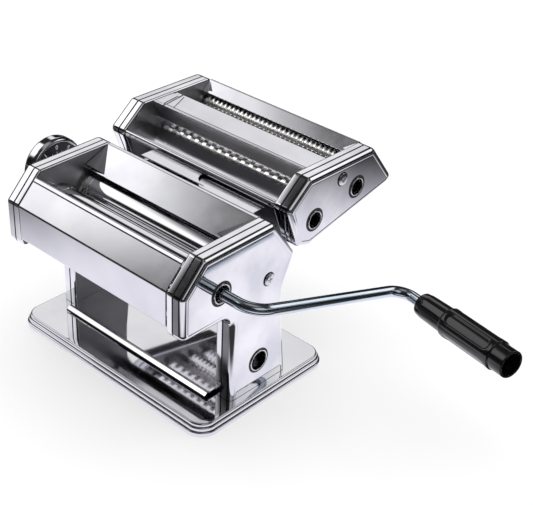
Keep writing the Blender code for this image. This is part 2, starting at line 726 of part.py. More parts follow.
def rolling_pair(chrome, steel, nylon):
    """The two hollow drums with their journals, bushes, gears and scrapers."""
    inside = ROLLER_R - DRUM_WALL
    wall_x = DRUM_HALF - DRUM_END_WALL
    socket_x = SOCKET_MOUTH_X - TIP_LENGTH - END_PLAY
    left_end = [
        (-wall_x, inside),
        (-wall_x, SHAFT_BORE_R),
        (-SHAFT_END_X, SHAFT_BORE_R),
        (-SHAFT_END_X, GEAR_SEAT_R),
        (-FLANGE_END_X, GEAR_SEAT_R),
        (-FLANGE_END_X, JOURNAL_R),
        (-DRUM_HALF, JOURNAL_R),
        (-DRUM_HALF, ROLLER_R),
        (DRUM_HALF, ROLLER_R),
        (DRUM_HALF, JOURNAL_R),
        (FLANGE_END_X + CLEAR, JOURNAL_R),
    ]
    front = [(socket_x - SOCKET_PLUG, 0), (socket_x - SOCKET_PLUG, inside)] + left_end + [
        (FLANGE_END_X + CLEAR, SOCKET_STUB_R), (SOCKET_MOUTH_X, SOCKET_STUB_R), (SOCKET_MOUTH_X, 0)]
    roller = turned("front_roller", front, FRONT_AXIS, chrome)
    square_socket(roller, "roller", FRONT_AXIS, socket_x)
    rear = left_end + [(FLANGE_END_X + CLEAR, SHAFT_BORE_R), (wall_x, SHAFT_BORE_R), (wall_x, inside)]
    turned("rear_roller", rear, REAR_AXIS, chrome, ring=True)
    roller_gears(steel)
    bearings(nylon)
    scraper("front_scraper", FRONT_AXIS, FRONT_SCRAPER_ANGLE, SHEET_SPAN, steel)
    scraper("rear_scraper", REAR_AXIS, REAR_SCRAPER_ANGLE, BUSH_START_X - CLEAR, steel)


def gear_outline(axis, teeth, pitch_r, outer_r, root_r, backlash, phase):
    """Involute outline of a spur gear with one tooth pointing at phase."""
    base_r = pitch_r * math.cos(math.radians(PRESSURE_ANGLE))
    thickness = math.pi * pitch_r / teeth - backlash

    def half_angle(radius):
        slope = math.acos(base_r / max(radius, base_r))
        pitch_slope = math.acos(base_r / pitch_r)
        spread = (math.tan(slope) - slope) - (math.tan(pitch_slope) - pitch_slope)
        return thickness / (2 * pitch_r) - spread

    radii = [root_r, (base_r + outer_r) / 2, outer_r]
    outline = []
    for tooth in range(teeth):
        middle = phase + 2 * math.pi * tooth / teeth
        for radius in radii:
            angle = middle - half_angle(radius)
            outline.append((axis[0] + radius * math.cos(angle), axis[1] + radius * math.sin(angle)))
        for radius in reversed(radii):
            angle = middle + half_angle(radius)
            outline.append((axis[0] + radius * math.cos(angle), axis[1] + radius * math.sin(angle)))
    return outline


def gear(name, axis, teeth, sizes, phase, bore, finish):
    """Spur gear on the left end of a shaft; sizes are pitch, outer and root radius and backlash."""
    outline = gear_outline(axis, teeth, *sizes, phase)
    piece = prism(name, outline, -GEAR_END_X, -GEAR_X, finish, (0.0, *axis))
    drill(piece, name + "_bore", axis, bore, -GEAR_END_X - TOOL_SPARE, -GEAR_X + TOOL_SPARE)


def roller_gears(steel):
    """Long teeth, so that the pair stays in mesh while the gap closes."""
    far = REAR_AXIS_Y - FRONT_AXIS_Y
    near = far - GAP_TRAVEL
    outer = far / 2 + GEAR_ADDENDUM
    root = near - outer - 2 * CLEAR
    sizes = (near / 2, outer, root, GEAR_BACKLASH)
    bore = GEAR_SEAT_R + CLEAR
    gear("front_roller_gear", FRONT_AXIS, GEAR_TEETH, sizes, 0.0, bore, steel)
    gear("rear_roller_gear", REAR_AXIS, GEAR_TEETH, sizes, math.pi + math.pi / GEAR_TEETH, bore, steel)


def bearing_profile(side):
    steps = [(BUSH_START_X, BUSH_BORE_R), (BUSH_START_X, BUSH_R), (FLANGE_X, BUSH_R),
             (FLANGE_X, FLANGE_R), (FLANGE_END_X, FLANGE_R), (FLANGE_END_X, BUSH_BORE_R)]
    return [(side * x, radius) for x, radius in steps]


def bearings(nylon):
    """Fixed bushes for the front roller and sliding ones for the rear roller."""
    bushes = {}
    for label, side in (("left", -1), ("right", 1)):
        for name, axis in (("front_bush_", FRONT_AXIS), ("rear_bearing_", REAR_AXIS)):
            bushes[name + label] = turned(name + label, bearing_profile(side), axis, nylon, SMALL_SIDES, ring=True)
        bar = radial_bar(REAR_AXIS, REAR_SCRAPER_ANGLE, BUSH_R - BUSH_WALL / 2, LUG_REACH, LUG_HALF_WIDTH)
        lug = prism("tool_lug_" + label, bar, *side_range(side, BUSH_START_X, INNER_X - CLEAR), None)
        join(bushes["rear_bearing_" + label], lug)
    slider = bushes["rear_bearing_left"]
    arm = radial_bar(REAR_AXIS, 0, FLANGE_R - BUSH_FLANGE / 2, SCROLL_PIN_AT + ARM_HALF_WIDTH, ARM_HALF_WIDTH)
    join(slider, prism("tool_arm", arm, -FLANGE_END_X, -FLANGE_X, None))
    pin = disc_outline((REAR_AXIS_Y + SCROLL_PIN_AT, AXIS_Z), SCROLL_PIN_R, PIN_SIDES)
    join(slider, prism("tool_pin", pin, -SCROLL_X - CLEAR, -FLANGE_X - FLANGE_THICKNESS / 2, None))


def radial_bar(axis, angle, start, end, half_width):
    """Rectangle that points away from an axis at an angle in degrees."""
    along = Vector((math.cos(math.radians(angle)), math.sin(math.radians(angle))))
    across = Vector((-along.y, along.x))
    centre = Vector(axis)
    corners = ((start, -half_width), (end, -half_width), (end, half_width), (start, half_width))
    return [tuple(centre + along * a + across * b) for a, b in corners]


def scraper(name, axis, angle, span, finish):
    """Blade that clears the underside of a roller."""
    start = ROLLER_R + SCRAPER_GAP
    bar = radial_bar(axis, angle, start, start + SCRAPER_REACH, SCRAPER_THICKNESS / 2)
    prism(name, bar, -span, span, finish)


def regulator(chrome, steel, black):
    """Spindle with the scroll plate inside the left cover and the numbered knob outside."""
    bore = SPINDLE_R + CLEAR
    knob_x = -OUTER_X - KNOB_STANDOFF
    shoulder_x = -OUTER_X - KNOB_SHOULDER
    back_x = knob_x - KNOB_DEPTH
    end_x = back_x + SPINDLE_SHORT
    scroll_inner_x = -SCROLL_X + SCROLL_THICKNESS
    start_x = scroll_inner_x + CLEAR
    spindle = [(start_x, 0), (start_x, SPINDLE_R), (end_x, SPINDLE_R), (end_x, 0)]
    turned("regulator_spindle", spindle, REAR_AXIS, steel, SMALL_SIDES)
    plate = prism("scroll_plate", disc_outline(REAR_AXIS, SCROLL_R), -SCROLL_X, scroll_inner_x, steel,
                  (0.0, *REAR_AXIS))
    tool_range = (-SCROLL_X - TOOL_SPARE, scroll_inner_x + TOOL_SPARE)
    drill(plate, "scroll_bore", REAR_AXIS, bore, *tool_range)
    cut(plate, prism("cut_scroll_slot", scroll_slot(), *tool_range, None))
    spindle_bush(bore, steel)
    nose_r = KNOB_CORE_R - NOSE_TAPER
    retainer_x = end_x - CLEAR
    retainer_end = retainer_x - RETAINER_THICKNESS
    retainer = [(retainer_x, 0), (retainer_x, nose_r), (retainer_end, nose_r), (retainer_end, 0)]
    turned("knob_retainer", retainer, REAR_AXIS, steel, SMALL_SIDES)
    spring_x = shoulder_x - CLEAR
    spring_end = end_x + KNOB_PULL
    wall_r = KNOB_CORE_R - SPRING_INSET
    spring = [(spring_x, bore + CLEAR), (spring_x, wall_r), (spring_end, wall_r), (spring_end, bore + CLEAR)]
    turned("knob_spring", spring, REAR_AXIS, steel, SMALL_SIDES, ring=True)
    rim_x = knob_x + RIM_PROUD
    shell = [
        (back_x + KNOB_BACK_WALL, 0),
        (back_x + KNOB_BACK_WALL, KNOB_CORE_R),
        (shoulder_x, KNOB_CORE_R),
        (shoulder_x, bore),
        (shoulder_x + SHOULDER_WALL, bore),
        (shoulder_x + SHOULDER_WALL, KNOB_NECK_R - SHOULDER_EDGE),
        (shoulder_x + SHOULDER_WALL - SHOULDER_EDGE, KNOB_NECK_R),
        (knob_x, KNOB_NECK_R),
        (knob_x, DIAL_R + CLEAR),
        (rim_x, DIAL_R + RIM_WALL),
        (rim_x - RIM_EDGE[0], DIAL_R + RIM_EDGE[1]),
        (knob_x - BAND[0], KNOB_R),
        (knob_x - BAND[1], KNOB_R),
    ]
    shell += [(back_x + before, KNOB_R - inwards) for before, inwards in BACK_DOME]
    shell.append((back_x, 0))
    turned("knob_shell", shell, REAR_AXIS, chrome)
    dial_low = knob_x + CLEAR
    dial_high = dial_low + DIAL_THICKNESS
    dial = [(dial_low, KNOB_NECK_R + CLEAR), (dial_low, DIAL_R), (dial_high, DIAL_R),
            (dial_high, KNOB_NECK_R + CLEAR)]
    turned("knob_dial", dial, REAR_AXIS, black, ring=True)


def spindle_bush(bore, steel):
    """Bush in the left cover, with a collar outside it and a nose that the knob's neck clears."""
    tail_x = -COVER_INSIDE_X + BUSH_TAIL
    collar_x = -OUTER_X - CLEAR
    collar_end = -OUTER_X - COLLAR_THICKNESS
    nose_x = -OUTER_X - NOSE_LENGTH
    collar_r = KNOB_CORE_R + COLLAR_RIM
    bush = [(tail_x, bore), (tail_x, KNOB_CORE_R), (collar_x, KNOB_CORE_R), (collar_x, collar_r),
            (collar_end, collar_r), (collar_end, KNOB_CORE_R), (nose_x, KNOB_CORE_R - NOSE_TAPER), (nose_x, bore)]
    turned("spindle_bush", bush, REAR_AXIS, steel, SMALL_SIDES, ring=True)


def scroll_slot():
    """Spiral slot in which the rear bearing's pin rides; its radius falls as the knob turns."""
    spare = math.radians(SCROLL_SPARE)
    turn = math.radians(REGULATOR_TURN)
    half = SCROLL_PIN_R + END_PLAY
    outer = []
    inner = []
    for i in range(SCROLL_STEPS + 1):
        angle = spare - (turn + 2 * spare) * i / SCROLL_STEPS
        radius = SCROLL_PIN_AT + GAP_TRAVEL * angle / turn
        along = Vector((math.cos(angle), math.sin(angle)))
        outer.append(tuple(Vector(REAR_AXIS) + along * (radius + half)))
        inner.append(tuple(Vector(REAR_AXIS) + along * (radius - half)))
    return outer + inner[::-1]


def crank_plane():
    """Directions along the roller axis, along the arm's side and square to the crank's plane."""
    tilt = math.radians(CRANK_TILT)
    return Vector((1, 0, 0)), Vector((0, math.cos(tilt), math.sin(tilt))), Vector((0, -math.sin(tilt), math.cos(tilt)))


def crank_bends():
    """Corners (along the axis, away from it, bend radius) of the rod, measured from its axis."""
    first = (SOCKET_MOUTH_X + SHANK_LENGTH, 0.0)
    arm = math.radians(ARM_ANGLE)
    second = (first[0] + ARM_LENGTH * math.cos(arm), ARM_LENGTH * math.sin(arm))
    lean = math.radians(GRIP_ANGLE)
    length = GRIP_START + GRIP_LENGTH - GRIP_HOLLOW + ROD_END
    last = (second[0] + length * math.cos(lean), second[1] + length * math.sin(lean))
    return first, second, last


def crank(steel, black):
    """Bent rod with a square tip and a head at its far end, and the grip that turns on it."""
    along, away, normal = crank_plane()
    start = Vector((0.0, *FRONT_AXIS))
    first, second, last = crank_bends()
    rod_start = SOCKET_MOUTH_X + CLEAR
    corners = [(rod_start, 0.0, 0), (*first, SHANK_BEND), (*second, ARM_BEND), (*last, 0)]
    path = [Vector(p) for p in bent_path(corners, ROD_BEND_STEPS)]
    rings = []
    for i, point in enumerate(path):
        before = unit(path[i - 1], point) if i else unit(point, path[i + 1])
        after = unit(point, path[i + 1]) if i < len(path) - 1 else before
        heading = (before + after).normalized()
        centre = start + along * point.x + away * point.y
        side = along * -heading.y + away * heading.x
        ring = []
        for k in range(PIN_SIDES):
            turn = 2 * math.pi * k / PIN_SIDES
            ring.append(centre + (side * math.cos(turn) + normal * math.sin(turn)) * ROD_R)
        rings.append(ring)
    rod = loft("crank_rod", rings, steel, tuple(start))
    half = TIP_ACROSS / 2
    tip_low = (SOCKET_MOUTH_X - TIP_LENGTH, FRONT_AXIS_Y - half, AXIS_Z - half)
    tip_high = (rod_start + TOOL_SPARE, FRONT_AXIS_Y + half, AXIS_Z + half)
    join(rod, block("tool_tip", tip_low, tip_high))
    heading = unit(second, last[:2])
    lean = along * heading.x + away * heading.y
    grip_at = start + along * second[0] + away * second[1] + lean * GRIP_START
    turn = Matrix((lean, normal.cross(lean), normal)).transposed().to_quaternion()
    floor = GRIP_LENGTH - GRIP_HOLLOW
    head_r = GRIP_R - COLLAR_DEPTH - GRIP_WALL - CLEAR
    head_x = floor + CLEAR
    head = [(head_x, 0), (head_x, head_r), (head_x + ROD_HEAD, head_r), (head_x + ROD_HEAD, 0)]
    cap = turned("tool_rod_head", head, (0.0, 0.0), None, PIN_SIDES)
    grip = loft("crank_grip", grip_rings(floor), black, closed=True)
    for piece in (grip, cap):
        piece.rotation_mode = "QUATERNION"
        piece.rotation_quaternion = turn
        piece.location = grip_at * MM
    join(rod, cap)


def grip_rings(floor):
    """Tapered neck, ribs with hollow panels between them and a plain hollow end, round the bore for the rod."""
    bore = ROD_R + CLEAR
    waist_r = GRIP_R - GRIP_WAIST
    rib_end = GRIP_LENGTH - COLLAR_START
    panel_start = RIB_START + RIB_EDGE + PANEL_INSET
    panel_end = rib_end - PANEL_INSET
    collar_r = GRIP_R - COLLAR_DEPTH
    hollow_r = collar_r - GRIP_WALL
    profile = [
        (0.0, bore, 0.0),
        (0.0, GRIP_NECK_R - GRIP_EDGE, 0.0),
        (GRIP_EDGE, GRIP_NECK_R, 0.0),
        (GRIP_TAPER, waist_r, 0.0),
        (RIB_START, waist_r, 0.0),
        (RIB_START + RIB_EDGE, GRIP_R, 0.0),
        (panel_start, GRIP_R, 0.0),
        (panel_start + PANEL_RUN, GRIP_R, PANEL_DEPTH),
        (panel_end - PANEL_RUN, GRIP_R, PANEL_DEPTH),
        (panel_end, GRIP_R, 0.0),
        (rib_end, GRIP_R, 0.0),
        (rib_end, collar_r, 0.0),
        (GRIP_LENGTH - GRIP_EDGE, collar_r, 0.0),
        (GRIP_LENGTH, collar_r - GRIP_EDGE, 0.0),
        (GRIP_LENGTH, hollow_r, 0.0),
        (floor, hollow_r, 0.0),
        (floor, bore, 0.0),
    ]
    pitch = 360.0 / RIB_COUNT
    panel = pitch * PANEL_SHARE / 2
    rib = pitch - panel
    around = [(-panel, 0), (-panel + PANEL_SLOPE, 1), (0.0, 1), (panel - PANEL_SLOPE, 1), (panel, 0),
              (panel + (rib - panel) / 3, 0), (rib - (rib - panel) / 3, 0)]
    rings = []
    for x, radius, depth in profile:
        ring = []
        for i in range(RIB_COUNT):
            for angle, hollow in around:
                turn = math.radians(PANEL_ANGLE + i * pitch + angle)
                r = radius - depth * hollow
                ring.append((x, r * math.cos(turn), r * math.sin(turn)))
        rings.append(ring)
    return rings


def cutter_axes():
    """Both axes (y, z) of the wide and of the fine pair."""
    tilt = math.radians(PAIR_TILT)
    step = (PAIR_DISTANCE * math.cos(tilt), PAIR_DISTANCE * math.sin(tilt))
    wide_rear = (WIDE_AXIS[0] + step[0], WIDE_AXIS[1] + step[1])
    fine_rear = (FINE_AXIS[0] + step[0], FINE_AXIS[1] + step[1])
    return {"wide": (WIDE_AXIS, wide_rear), "fine": (FINE_AXIS, fine_rear)}


def land_centres(pitch, shift):
    """Middles of the lands that fit on a cutting roller."""
    width = pitch / 2 - LAND_CLEAR
    count = int(LAND_REACH / pitch) + 1
    places = [(i + shift) * pitch for i in range(-count, count + 1)]
    return [x for x in places if abs(x) + width / 2 <= LAND_REACH]


def cutting_roller(name, axis, pitch, shift, socket, finish):
    """Shaft with square lands that run in the grooves of its neighbour."""
    half = (pitch / 2 - LAND_CLEAR) / 2
    core_end = LAND_REACH + CUTTER_SHOULDER
    profile = [(-SHAFT_END_X, 0), (-SHAFT_END_X, CUTTER_JOURNAL_R), (-core_end, CUTTER_JOURNAL_R), (-core_end, CORE_R)]
    for x in land_centres(pitch, shift):
        profile += [(x - half, CORE_R), (x - half, LAND_R), (x + half, LAND_R), (x + half, CORE_R)]
    profile.append((core_end, CORE_R))
    if socket:
        profile += [(core_end, CUTTER_STUB_R), (SOCKET_MOUTH_X, CUTTER_STUB_R), (SOCKET_MOUTH_X, 0)]
    else:
        profile += [(core_end, CUTTER_JOURNAL_R), (FLANGE_END_X, CUTTER_JOURNAL_R), (FLANGE_END_X, 0)]
    roller = turned(name, profile, axis, finish, CUTTER_SIDES)
    if socket:
        square_socket(roller, name, axis, SOCKET_MOUTH_X - TIP_LENGTH)


def comb(name, axis, angle, pitch, shift, finish):
    """Stripper plate whose teeth reach into the grooves of a cutting roller."""
    tip = CORE_R + COMB_TIP_GAP
    root = LAND_R + COMB_ROOT_GAP
    half = (pitch / 2 + LAND_CLEAR) / 2 - 2 * CLEAR
    outline = [(-SHEET_SPAN, root)]
    for x in land_centres(pitch, shift):
        outline += [(x - half, root), (x, tip), (x + half, root)]
    outline += [(SHEET_SPAN, root), (SHEET_SPAN, COMB_REACH), (-SHEET_SPAN, COMB_REACH)]
    along = Vector((math.cos(math.radians(angle)), math.sin(math.radians(angle))))
    across = Vector((-along.y, along.x))
    rings = []
    for offset in (-COMB_THICKNESS / 2, COMB_THICKNESS / 2):
        ring = []
        for x, radius in outline:
            place = Vector(axis) + along * radius + across * offset
            ring.append((x, place.x, place.y))
        rings.append(ring)
    loft(name, rings, finish)


def cutting_pairs(steel):
    """Four cutting rollers, their combs and the gears that join each pair."""
    tilt = math.radians(PAIR_TILT)
    pitch_r = PAIR_DISTANCE / 2
    sizes = (pitch_r, pitch_r + CUTTER_ADDENDUM, pitch_r - CUTTER_DEDENDUM, CUTTER_BACKLASH)
    bore = CUTTER_JOURNAL_R + CLEAR
    for kind, pitch in (("wide", WIDE_PITCH), ("fine", FINE_PITCH)):
        front, rear = cutter_axes()[kind]
        cutting_roller(kind + "_cutter_front", front, pitch, 0.0, True, steel)
        cutting_roller(kind + "_cutter_rear", rear, pitch, 0.5, False, steel)
        comb(kind + "_comb_front", front, FRONT_COMB_ANGLE, pitch, 0.5, steel)
        comb(kind + "_comb_rear", rear, REAR_COMB_ANGLE, pitch, 0.0, steel)
        gear(kind + "_gear_front", front, CUTTER_GEAR_TEETH, sizes, tilt, bore, steel)
        gear(kind + "_gear_rear", rear, CUTTER_GEAR_TEETH, sizes, tilt + math.pi + math.pi / CUTTER_GEAR_TEETH,
             bore, steel)


def cutter_boxes(chrome, steel):
    """Side frames and covers of the cutter head."""
    corners = head_corners()
    for label, side in (("left", -1), ("right", 1)):
        frame = side_frame("cutter_frame_" + label, side, corners, chrome)
        cover = side_cover("cutter_cover_" + label, side, corners, chrome)
        web = side_range(side, INNER_X - TOOL_SPARE, INNER_X + TOOL_SPARE)
        for kind, (front, rear) in cutter_axes().items():
            front_r = CUTTER_STUB_R if side > 0 else CUTTER_JOURNAL_R
            drill(frame, f"{kind}_front_{label}", front, front_r + CLEAR, *web)
            drill(frame, f"{kind}_rear_{label}", rear, CUTTER_JOURNAL_R + CLEAR, *web)
            if side > 0:
                face = side_range(side, OUTER_X - TOOL_SPARE, OUTER_X + TOOL_SPARE)
                drill(cover, kind + "_socket", front, CUTTER_RING_R + CLEAR, *face, LARGE_SIDES)
                cover_ring(kind + "_socket_ring", front, CUTTER_STUB_R + CLEAR, CUTTER_RING_R, steel)
        screw_holes(frame, cover, "head_" + label, side, HEAD_SCREW)
        screw("cutter_screw_" + label, side, HEAD_SCREW, steel)


def guard_corners():
    """Folds (y, z, bend radius) of the sheet in front of the wide cutter."""
    return [
        (*step_from(HEAD_FRONT, GUARD_FEED), 0),
        (*step_from(HEAD_FRONT, GUARD_BAR_REAR), BAR_BEND),
        (*step_from(HEAD_FRONT, GUARD_BAR_FRONT), BAR_BEND),
        (*step_from(HEAD_CHIN, GUARD_FOOT), HEM_BEND),
        (*step_from(HEAD_CHIN, GUARD_HEM), 0),
    ]


def cutter_sheets(chrome):
    """Guard, roof and rear panel between the cutter's side frames."""
    sheet("cutter_guard", guard_corners(), SHEET, SHEET_SPAN, chrome)
    roof = [
        (*step_from(HEAD_TOP_FRONT, ROOF_WALL_FOOT), 0),
        (*step_from(HEAD_TOP_FRONT, ROOF_FRONT), EDGE_BEND),
        (*step_from(HEAD_TOP_FRONT, ROOF_REAR), EDGE_BEND),
        (*step_from(HEAD_TOP_FRONT, ROOF_HEM), 0),
    ]
    sheet("cutter_roof", roof, SHEET, SHEET_SPAN, chrome)
    rear = [
        (*step_from(HEAD_TOP_REAR, PANEL_FEED), 0),
        (*step_from(HEAD_TOP_REAR, PANEL_TOP), EDGE_BEND),
        (*step_from(HEAD_REAR, PANEL_FOOT), PANEL_BEND),
        (*step_from(HEAD_REAR_LOW, PANEL_HEM), 0),
    ]
    sheet("cutter_rear_panel", rear, SHEET, SHEET_SPAN, chrome)


def slope_frame():
    """Origin and directions of the main body's rear slope, on the sheet's outside."""
    down = unit(CREST, SLOPE_FOOT)
    out = Vector((-down.y, down.x))
    return Vector(CREST) + out * (SHEET / 2), down, out


def docking(steel):
    """Folded plate on the cutter that slides down between two rails on the machine."""
    top, down, out = slope_frame()
    middle = DOCK_STANDOFF + DOCK_THICKNESS / 2
    upper = top + down * DOCK_START + out * middle
    lower = top + down * (DOCK_START + DOCK_LENGTH - DOCK_FOLD[0]) + out * middle
    wall_top, wall_foot = [corner[:2] for corner in guard_corners()[2:4]]
    wall_down = unit(wall_top, wall_foot)
    wall_out = Vector((wall_down.y, -wall_down.x))
    offset = SHEET / 2 + CLEAR + DOCK_THICKNESS / 2
    fall = (lower.y - wall_top[1] - DOCK_FOLD[1]) / wall_down.y
    leaf_low = Vector(wall_top) + wall_down * fall + wall_out * offset
    leaf_high = leaf_low - wall_down * DOCK_LEAF
    corners = [(*upper, 0), (*lower, DOCK_BEND), (*leaf_low, DOCK_BEND), (*leaf_high, 0)]
    plate = sheet("dock_plate", corners, DOCK_THICKNESS, DOCK_HALF, steel)
    plate_top = middle + DOCK_THICKNESS / 2
    lip_low = plate_top + CLEAR
    rail_top = lip_low + RAIL_LIP_THICKNESS
    inner = DOCK_HALF + CLEAR
    outer = inner + RAIL_WIDTH
    lip = DOCK_HALF - RAIL_LIP
    end = DOCK_START + DOCK_LENGTH + STOP_GAP
    for label, side in (("left", -1), ("right", 1)):
        section = [(inner, CLEAR), (outer, CLEAR), (outer, rail_top), (lip, rail_top), (lip, lip_low), (inner, lip_low)]
        rings = [[(side * x, s, n) for x, n in section] for s in (RAIL_START, end)]
        rail = loft("dock_rail_" + label, rings, steel)
        low_x, high_x = side_range(side, lip, outer - RAIL_WIDTH / 2)
        stop = block("tool_stop_" + label, (low_x, end - CLEAR, CLEAR), (high_x, end + STOP_LENGTH, rail_top))
        low_x, high_x = side_range(side, lip - CLEAR, outer)
        notch = block("cut_dock_notch_" + label, (low_x, 0.0, plate_top), (high_x, end + DOCK_LEAF, 2 * DOCK_LEAF))
        cut(plate, notch)
        for piece in (rail, stop, notch):
            piece.rotation_euler = (math.atan2(down.y, down.x), 0.0, 0.0)
            piece.location = Vector((0.0, *top)) * MM
        join(rail, stop)


def build():
    for old in list(bpy.data.objects):
        bpy.data.objects.remove(old)
    chrome = material("chrome_sheet", (0.86, 0.86, 0.88), 0.12, 1.0)
    steel = material("bright_steel", (0.70, 0.72, 0.75), 0.25, 1.0)
    nylon = material("bearing_nylon", (0.80, 0.79, 0.74), 0.5, 0.0)
    black = material("black_plastic", (0.02, 0.02, 0.02), 0.35, 0.0)
    base_pieces(chrome, black)
    side_boxes(chrome, steel)
    body_sheets(chrome)
    tie_rods(steel)
    rolling_pair(chrome, steel, nylon)
    regulator(chrome, steel, black)
    crank(steel, black)
    cutter_boxes(chrome, steel)
    cutting_pairs(steel)
    cutter_sheets(chrome)
    docking(steel)


build()
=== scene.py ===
# %% [markdown]
# # A hand cranked pasta machine
# The machine is already packed as named solids in one fixed frame. Here each solid gets a finer
# piece that rides on the same body, and every surface gets a finish made of shader nodes.
# The frame's origin is the middle of the tray's underside: +X runs along the rollers to the crank,
# +Y to the rear, where the cutter head is, and +Z up.

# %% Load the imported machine
import math

import bmesh
import bpy
from mathutils import Matrix, Vector


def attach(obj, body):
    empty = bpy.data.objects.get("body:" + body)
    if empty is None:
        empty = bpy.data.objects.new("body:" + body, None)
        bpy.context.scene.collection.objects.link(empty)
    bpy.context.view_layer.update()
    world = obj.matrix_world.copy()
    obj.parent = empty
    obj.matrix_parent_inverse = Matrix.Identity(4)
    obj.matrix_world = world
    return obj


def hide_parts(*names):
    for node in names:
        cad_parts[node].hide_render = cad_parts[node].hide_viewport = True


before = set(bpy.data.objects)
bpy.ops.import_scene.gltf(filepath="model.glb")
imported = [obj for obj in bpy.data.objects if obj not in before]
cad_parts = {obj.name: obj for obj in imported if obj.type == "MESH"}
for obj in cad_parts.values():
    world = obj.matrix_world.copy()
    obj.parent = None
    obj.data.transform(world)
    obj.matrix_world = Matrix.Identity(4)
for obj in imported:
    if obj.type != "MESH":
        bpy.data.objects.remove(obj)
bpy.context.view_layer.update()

# %% [markdown]
# ## Sizes
# A sheet metal shop works in millimetres, so the profiles below do too, and one helper turns
# points into metres when a mesh is made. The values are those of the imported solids.

# %% Sizes of the stand
MM = 0.001
CLEAR = 0.3
INNER_X, SEAM_X, OUTER_X = 77.6, 83.85, 93.4
WALL = 1.4
EDGE_ROUND = 4.6
FRONT_AXIS, REAR_AXIS = (-42.0, 108.5), (-9.0, 108.5)
FOOT_Z = 9.8
BOX_OUTLINE = [(-78.3, 84.0, 6.0), (-78.3, 118.7, 4.0), (-57.5, 140.5, 4.0), (10.0, 141.5, 5.0),
               (33.0, 110.0, 5.0), (22.0, 86.0, 16.0), (22.5, 62.0, 30.0), (29.7, 0.6, 1.0),
               (-30.5, 0.6, 1.0), (-30.5, 84.0, 10.0)]
HEAD_OUTLINE = [(22.4, 145.0, 5.0), (44.4, 163.2, 5.0), (116.0, 163.2, 6.0), (140.5, 132.0, 4.0),
                (134.5, 127.3, 4.0), (47.0, 108.5, 6.0), (35.0, 112.0, 4.0)]
print("side boxes", 2 * OUTER_X, "mm over both covers")

# %% [markdown]
# ## Finishes
# Polished metal shows its surroundings, so the plating needs only small faults to look real:
# finger marks that dull it in patches, and fine lines left by the polishing belt. Several metals
# share both effects, so each effect is one node group with named inputs.

# %% Helpers for nodes
def add_node(tree, kind, operation=None, group=None, **values):
    """A new node, with its operation or group; a low line in an input's name stands for a space."""
    node = tree.nodes.new(kind)
    if operation:
        node.operation = operation
    if group:
        node.node_tree = group
    for label, value in values.items():
        node.inputs[label.replace("_", " ")].default_value = value
    return node


def wire(tree, *pairs):
    """Link the first socket of each pair to the second."""
    for start, end in pairs:
        tree.links.new(start, end)


def math_node(tree, operation, *values, kind="ShaderNodeMath"):
    """The value of a math node, whose inputs are linked to sockets and set to numbers."""
    node = add_node(tree, kind, operation)
    for socket, value in zip(node.inputs, values):
        if isinstance(value, bpy.types.NodeSocket):
            tree.links.new(value, socket)
        else:
            socket.default_value = value
    return node.outputs["Value"]


def smooth_step(tree, value, low, high):
    """Smooth rise from 0 to 1 as a value passes from low to high."""
    node = add_node(tree, "ShaderNodeMapRange", From_Min=low, From_Max=high)
    node.interpolation_type = "SMOOTHSTEP"
    wire(tree, (value, node.inputs["Value"]))
    return node.outputs["Result"]


def shader_group(name, inputs, outputs):
    """An empty group with named sockets, and its input and output nodes."""
    group = bpy.data.node_groups.new(name, "ShaderNodeTree")
    for label, kind, value in inputs:
        socket = group.interface.new_socket(label, in_out="INPUT", socket_type=kind)
        socket.default_value = value
    for label, kind in outputs:
        group.interface.new_socket(label, in_out="OUTPUT", socket_type=kind)
    return group, group.nodes.new("NodeGroupInput"), group.nodes.new("NodeGroupOutput")

# %% Finger marks
def make_finger_marks():
    """Patches of a higher roughness, as where a plated sheet was handled."""
    group, given, result = shader_group(
        "finger marks",
        [("Patch Scale", "NodeSocketFloat", 40.0), ("Clean", "NodeSocketFloat", 0.06),
         ("Marked", "NodeSocketFloat", 0.16)],
        [("Roughness", "NodeSocketFloat")])
    place = add_node(group, "ShaderNodeTexCoord")
    noise = add_node(group, "ShaderNodeTexNoise", Detail=5.0)
    spread = add_node(group, "ShaderNodeMapRange", From_Min=0.42, From_Max=0.72)
    level = add_node(group, "ShaderNodeMapRange")
    wire(group,
         (place.outputs["Object"], noise.inputs["Vector"]),
         (given.outputs["Patch Scale"], noise.inputs["Scale"]),
         (noise.outputs["Fac"], spread.inputs["Value"]),
         (spread.outputs["Result"], level.inputs["Value"]),
         (given.outputs["Clean"], level.inputs["To Min"]),
         (given.outputs["Marked"], level.inputs["To Max"]),
         (level.outputs["Result"], result.inputs["Roughness"]))
    return group

FINGER_MARKS = make_finger_marks()
print("group:", FINGER_MARKS.name)

# %% Belt lines
def make_belt_lines():
    """Heights of fine lines that run one way over a polished or turned metal."""
    group, given, result = shader_group(
        "belt lines",
        [("Direction", "NodeSocketVector", (1.0, 30.0, 30.0)), ("Scale", "NodeSocketFloat", 60.0),
         ("Wave Scale", "NodeSocketFloat", 12.0), ("Wave", "NodeSocketFloat", 1.0)],
        [("Height", "NodeSocketFloat")])
    place = add_node(group, "ShaderNodeTexCoord")
    turn = add_node(group, "ShaderNodeMapping")
    lines = add_node(group, "ShaderNodeTexNoise", Detail=3.0)
    waves = add_node(group, "ShaderNodeTexNoise", Detail=0.0)
    wave_height = math_node(group, "MULTIPLY", waves.outputs["Fac"], given.outputs["Wave"])
    height = math_node(group, "ADD", lines.outputs["Fac"], wave_height)
    wire(group,
         (place.outputs["Object"], turn.inputs["Vector"]),
         (given.outputs["Direction"], turn.inputs["Scale"]),
         (turn.outputs["Vector"], lines.inputs["Vector"]),
         (given.outputs["Scale"], lines.inputs["Scale"]),
         (place.outputs["Object"], waves.inputs["Vector"]),
         (given.outputs["Wave Scale"], waves.inputs["Scale"]),
         (height, result.inputs["Height"]))
    return group

BELT_LINES = make_belt_lines()
print("group:", BELT_LINES.name)

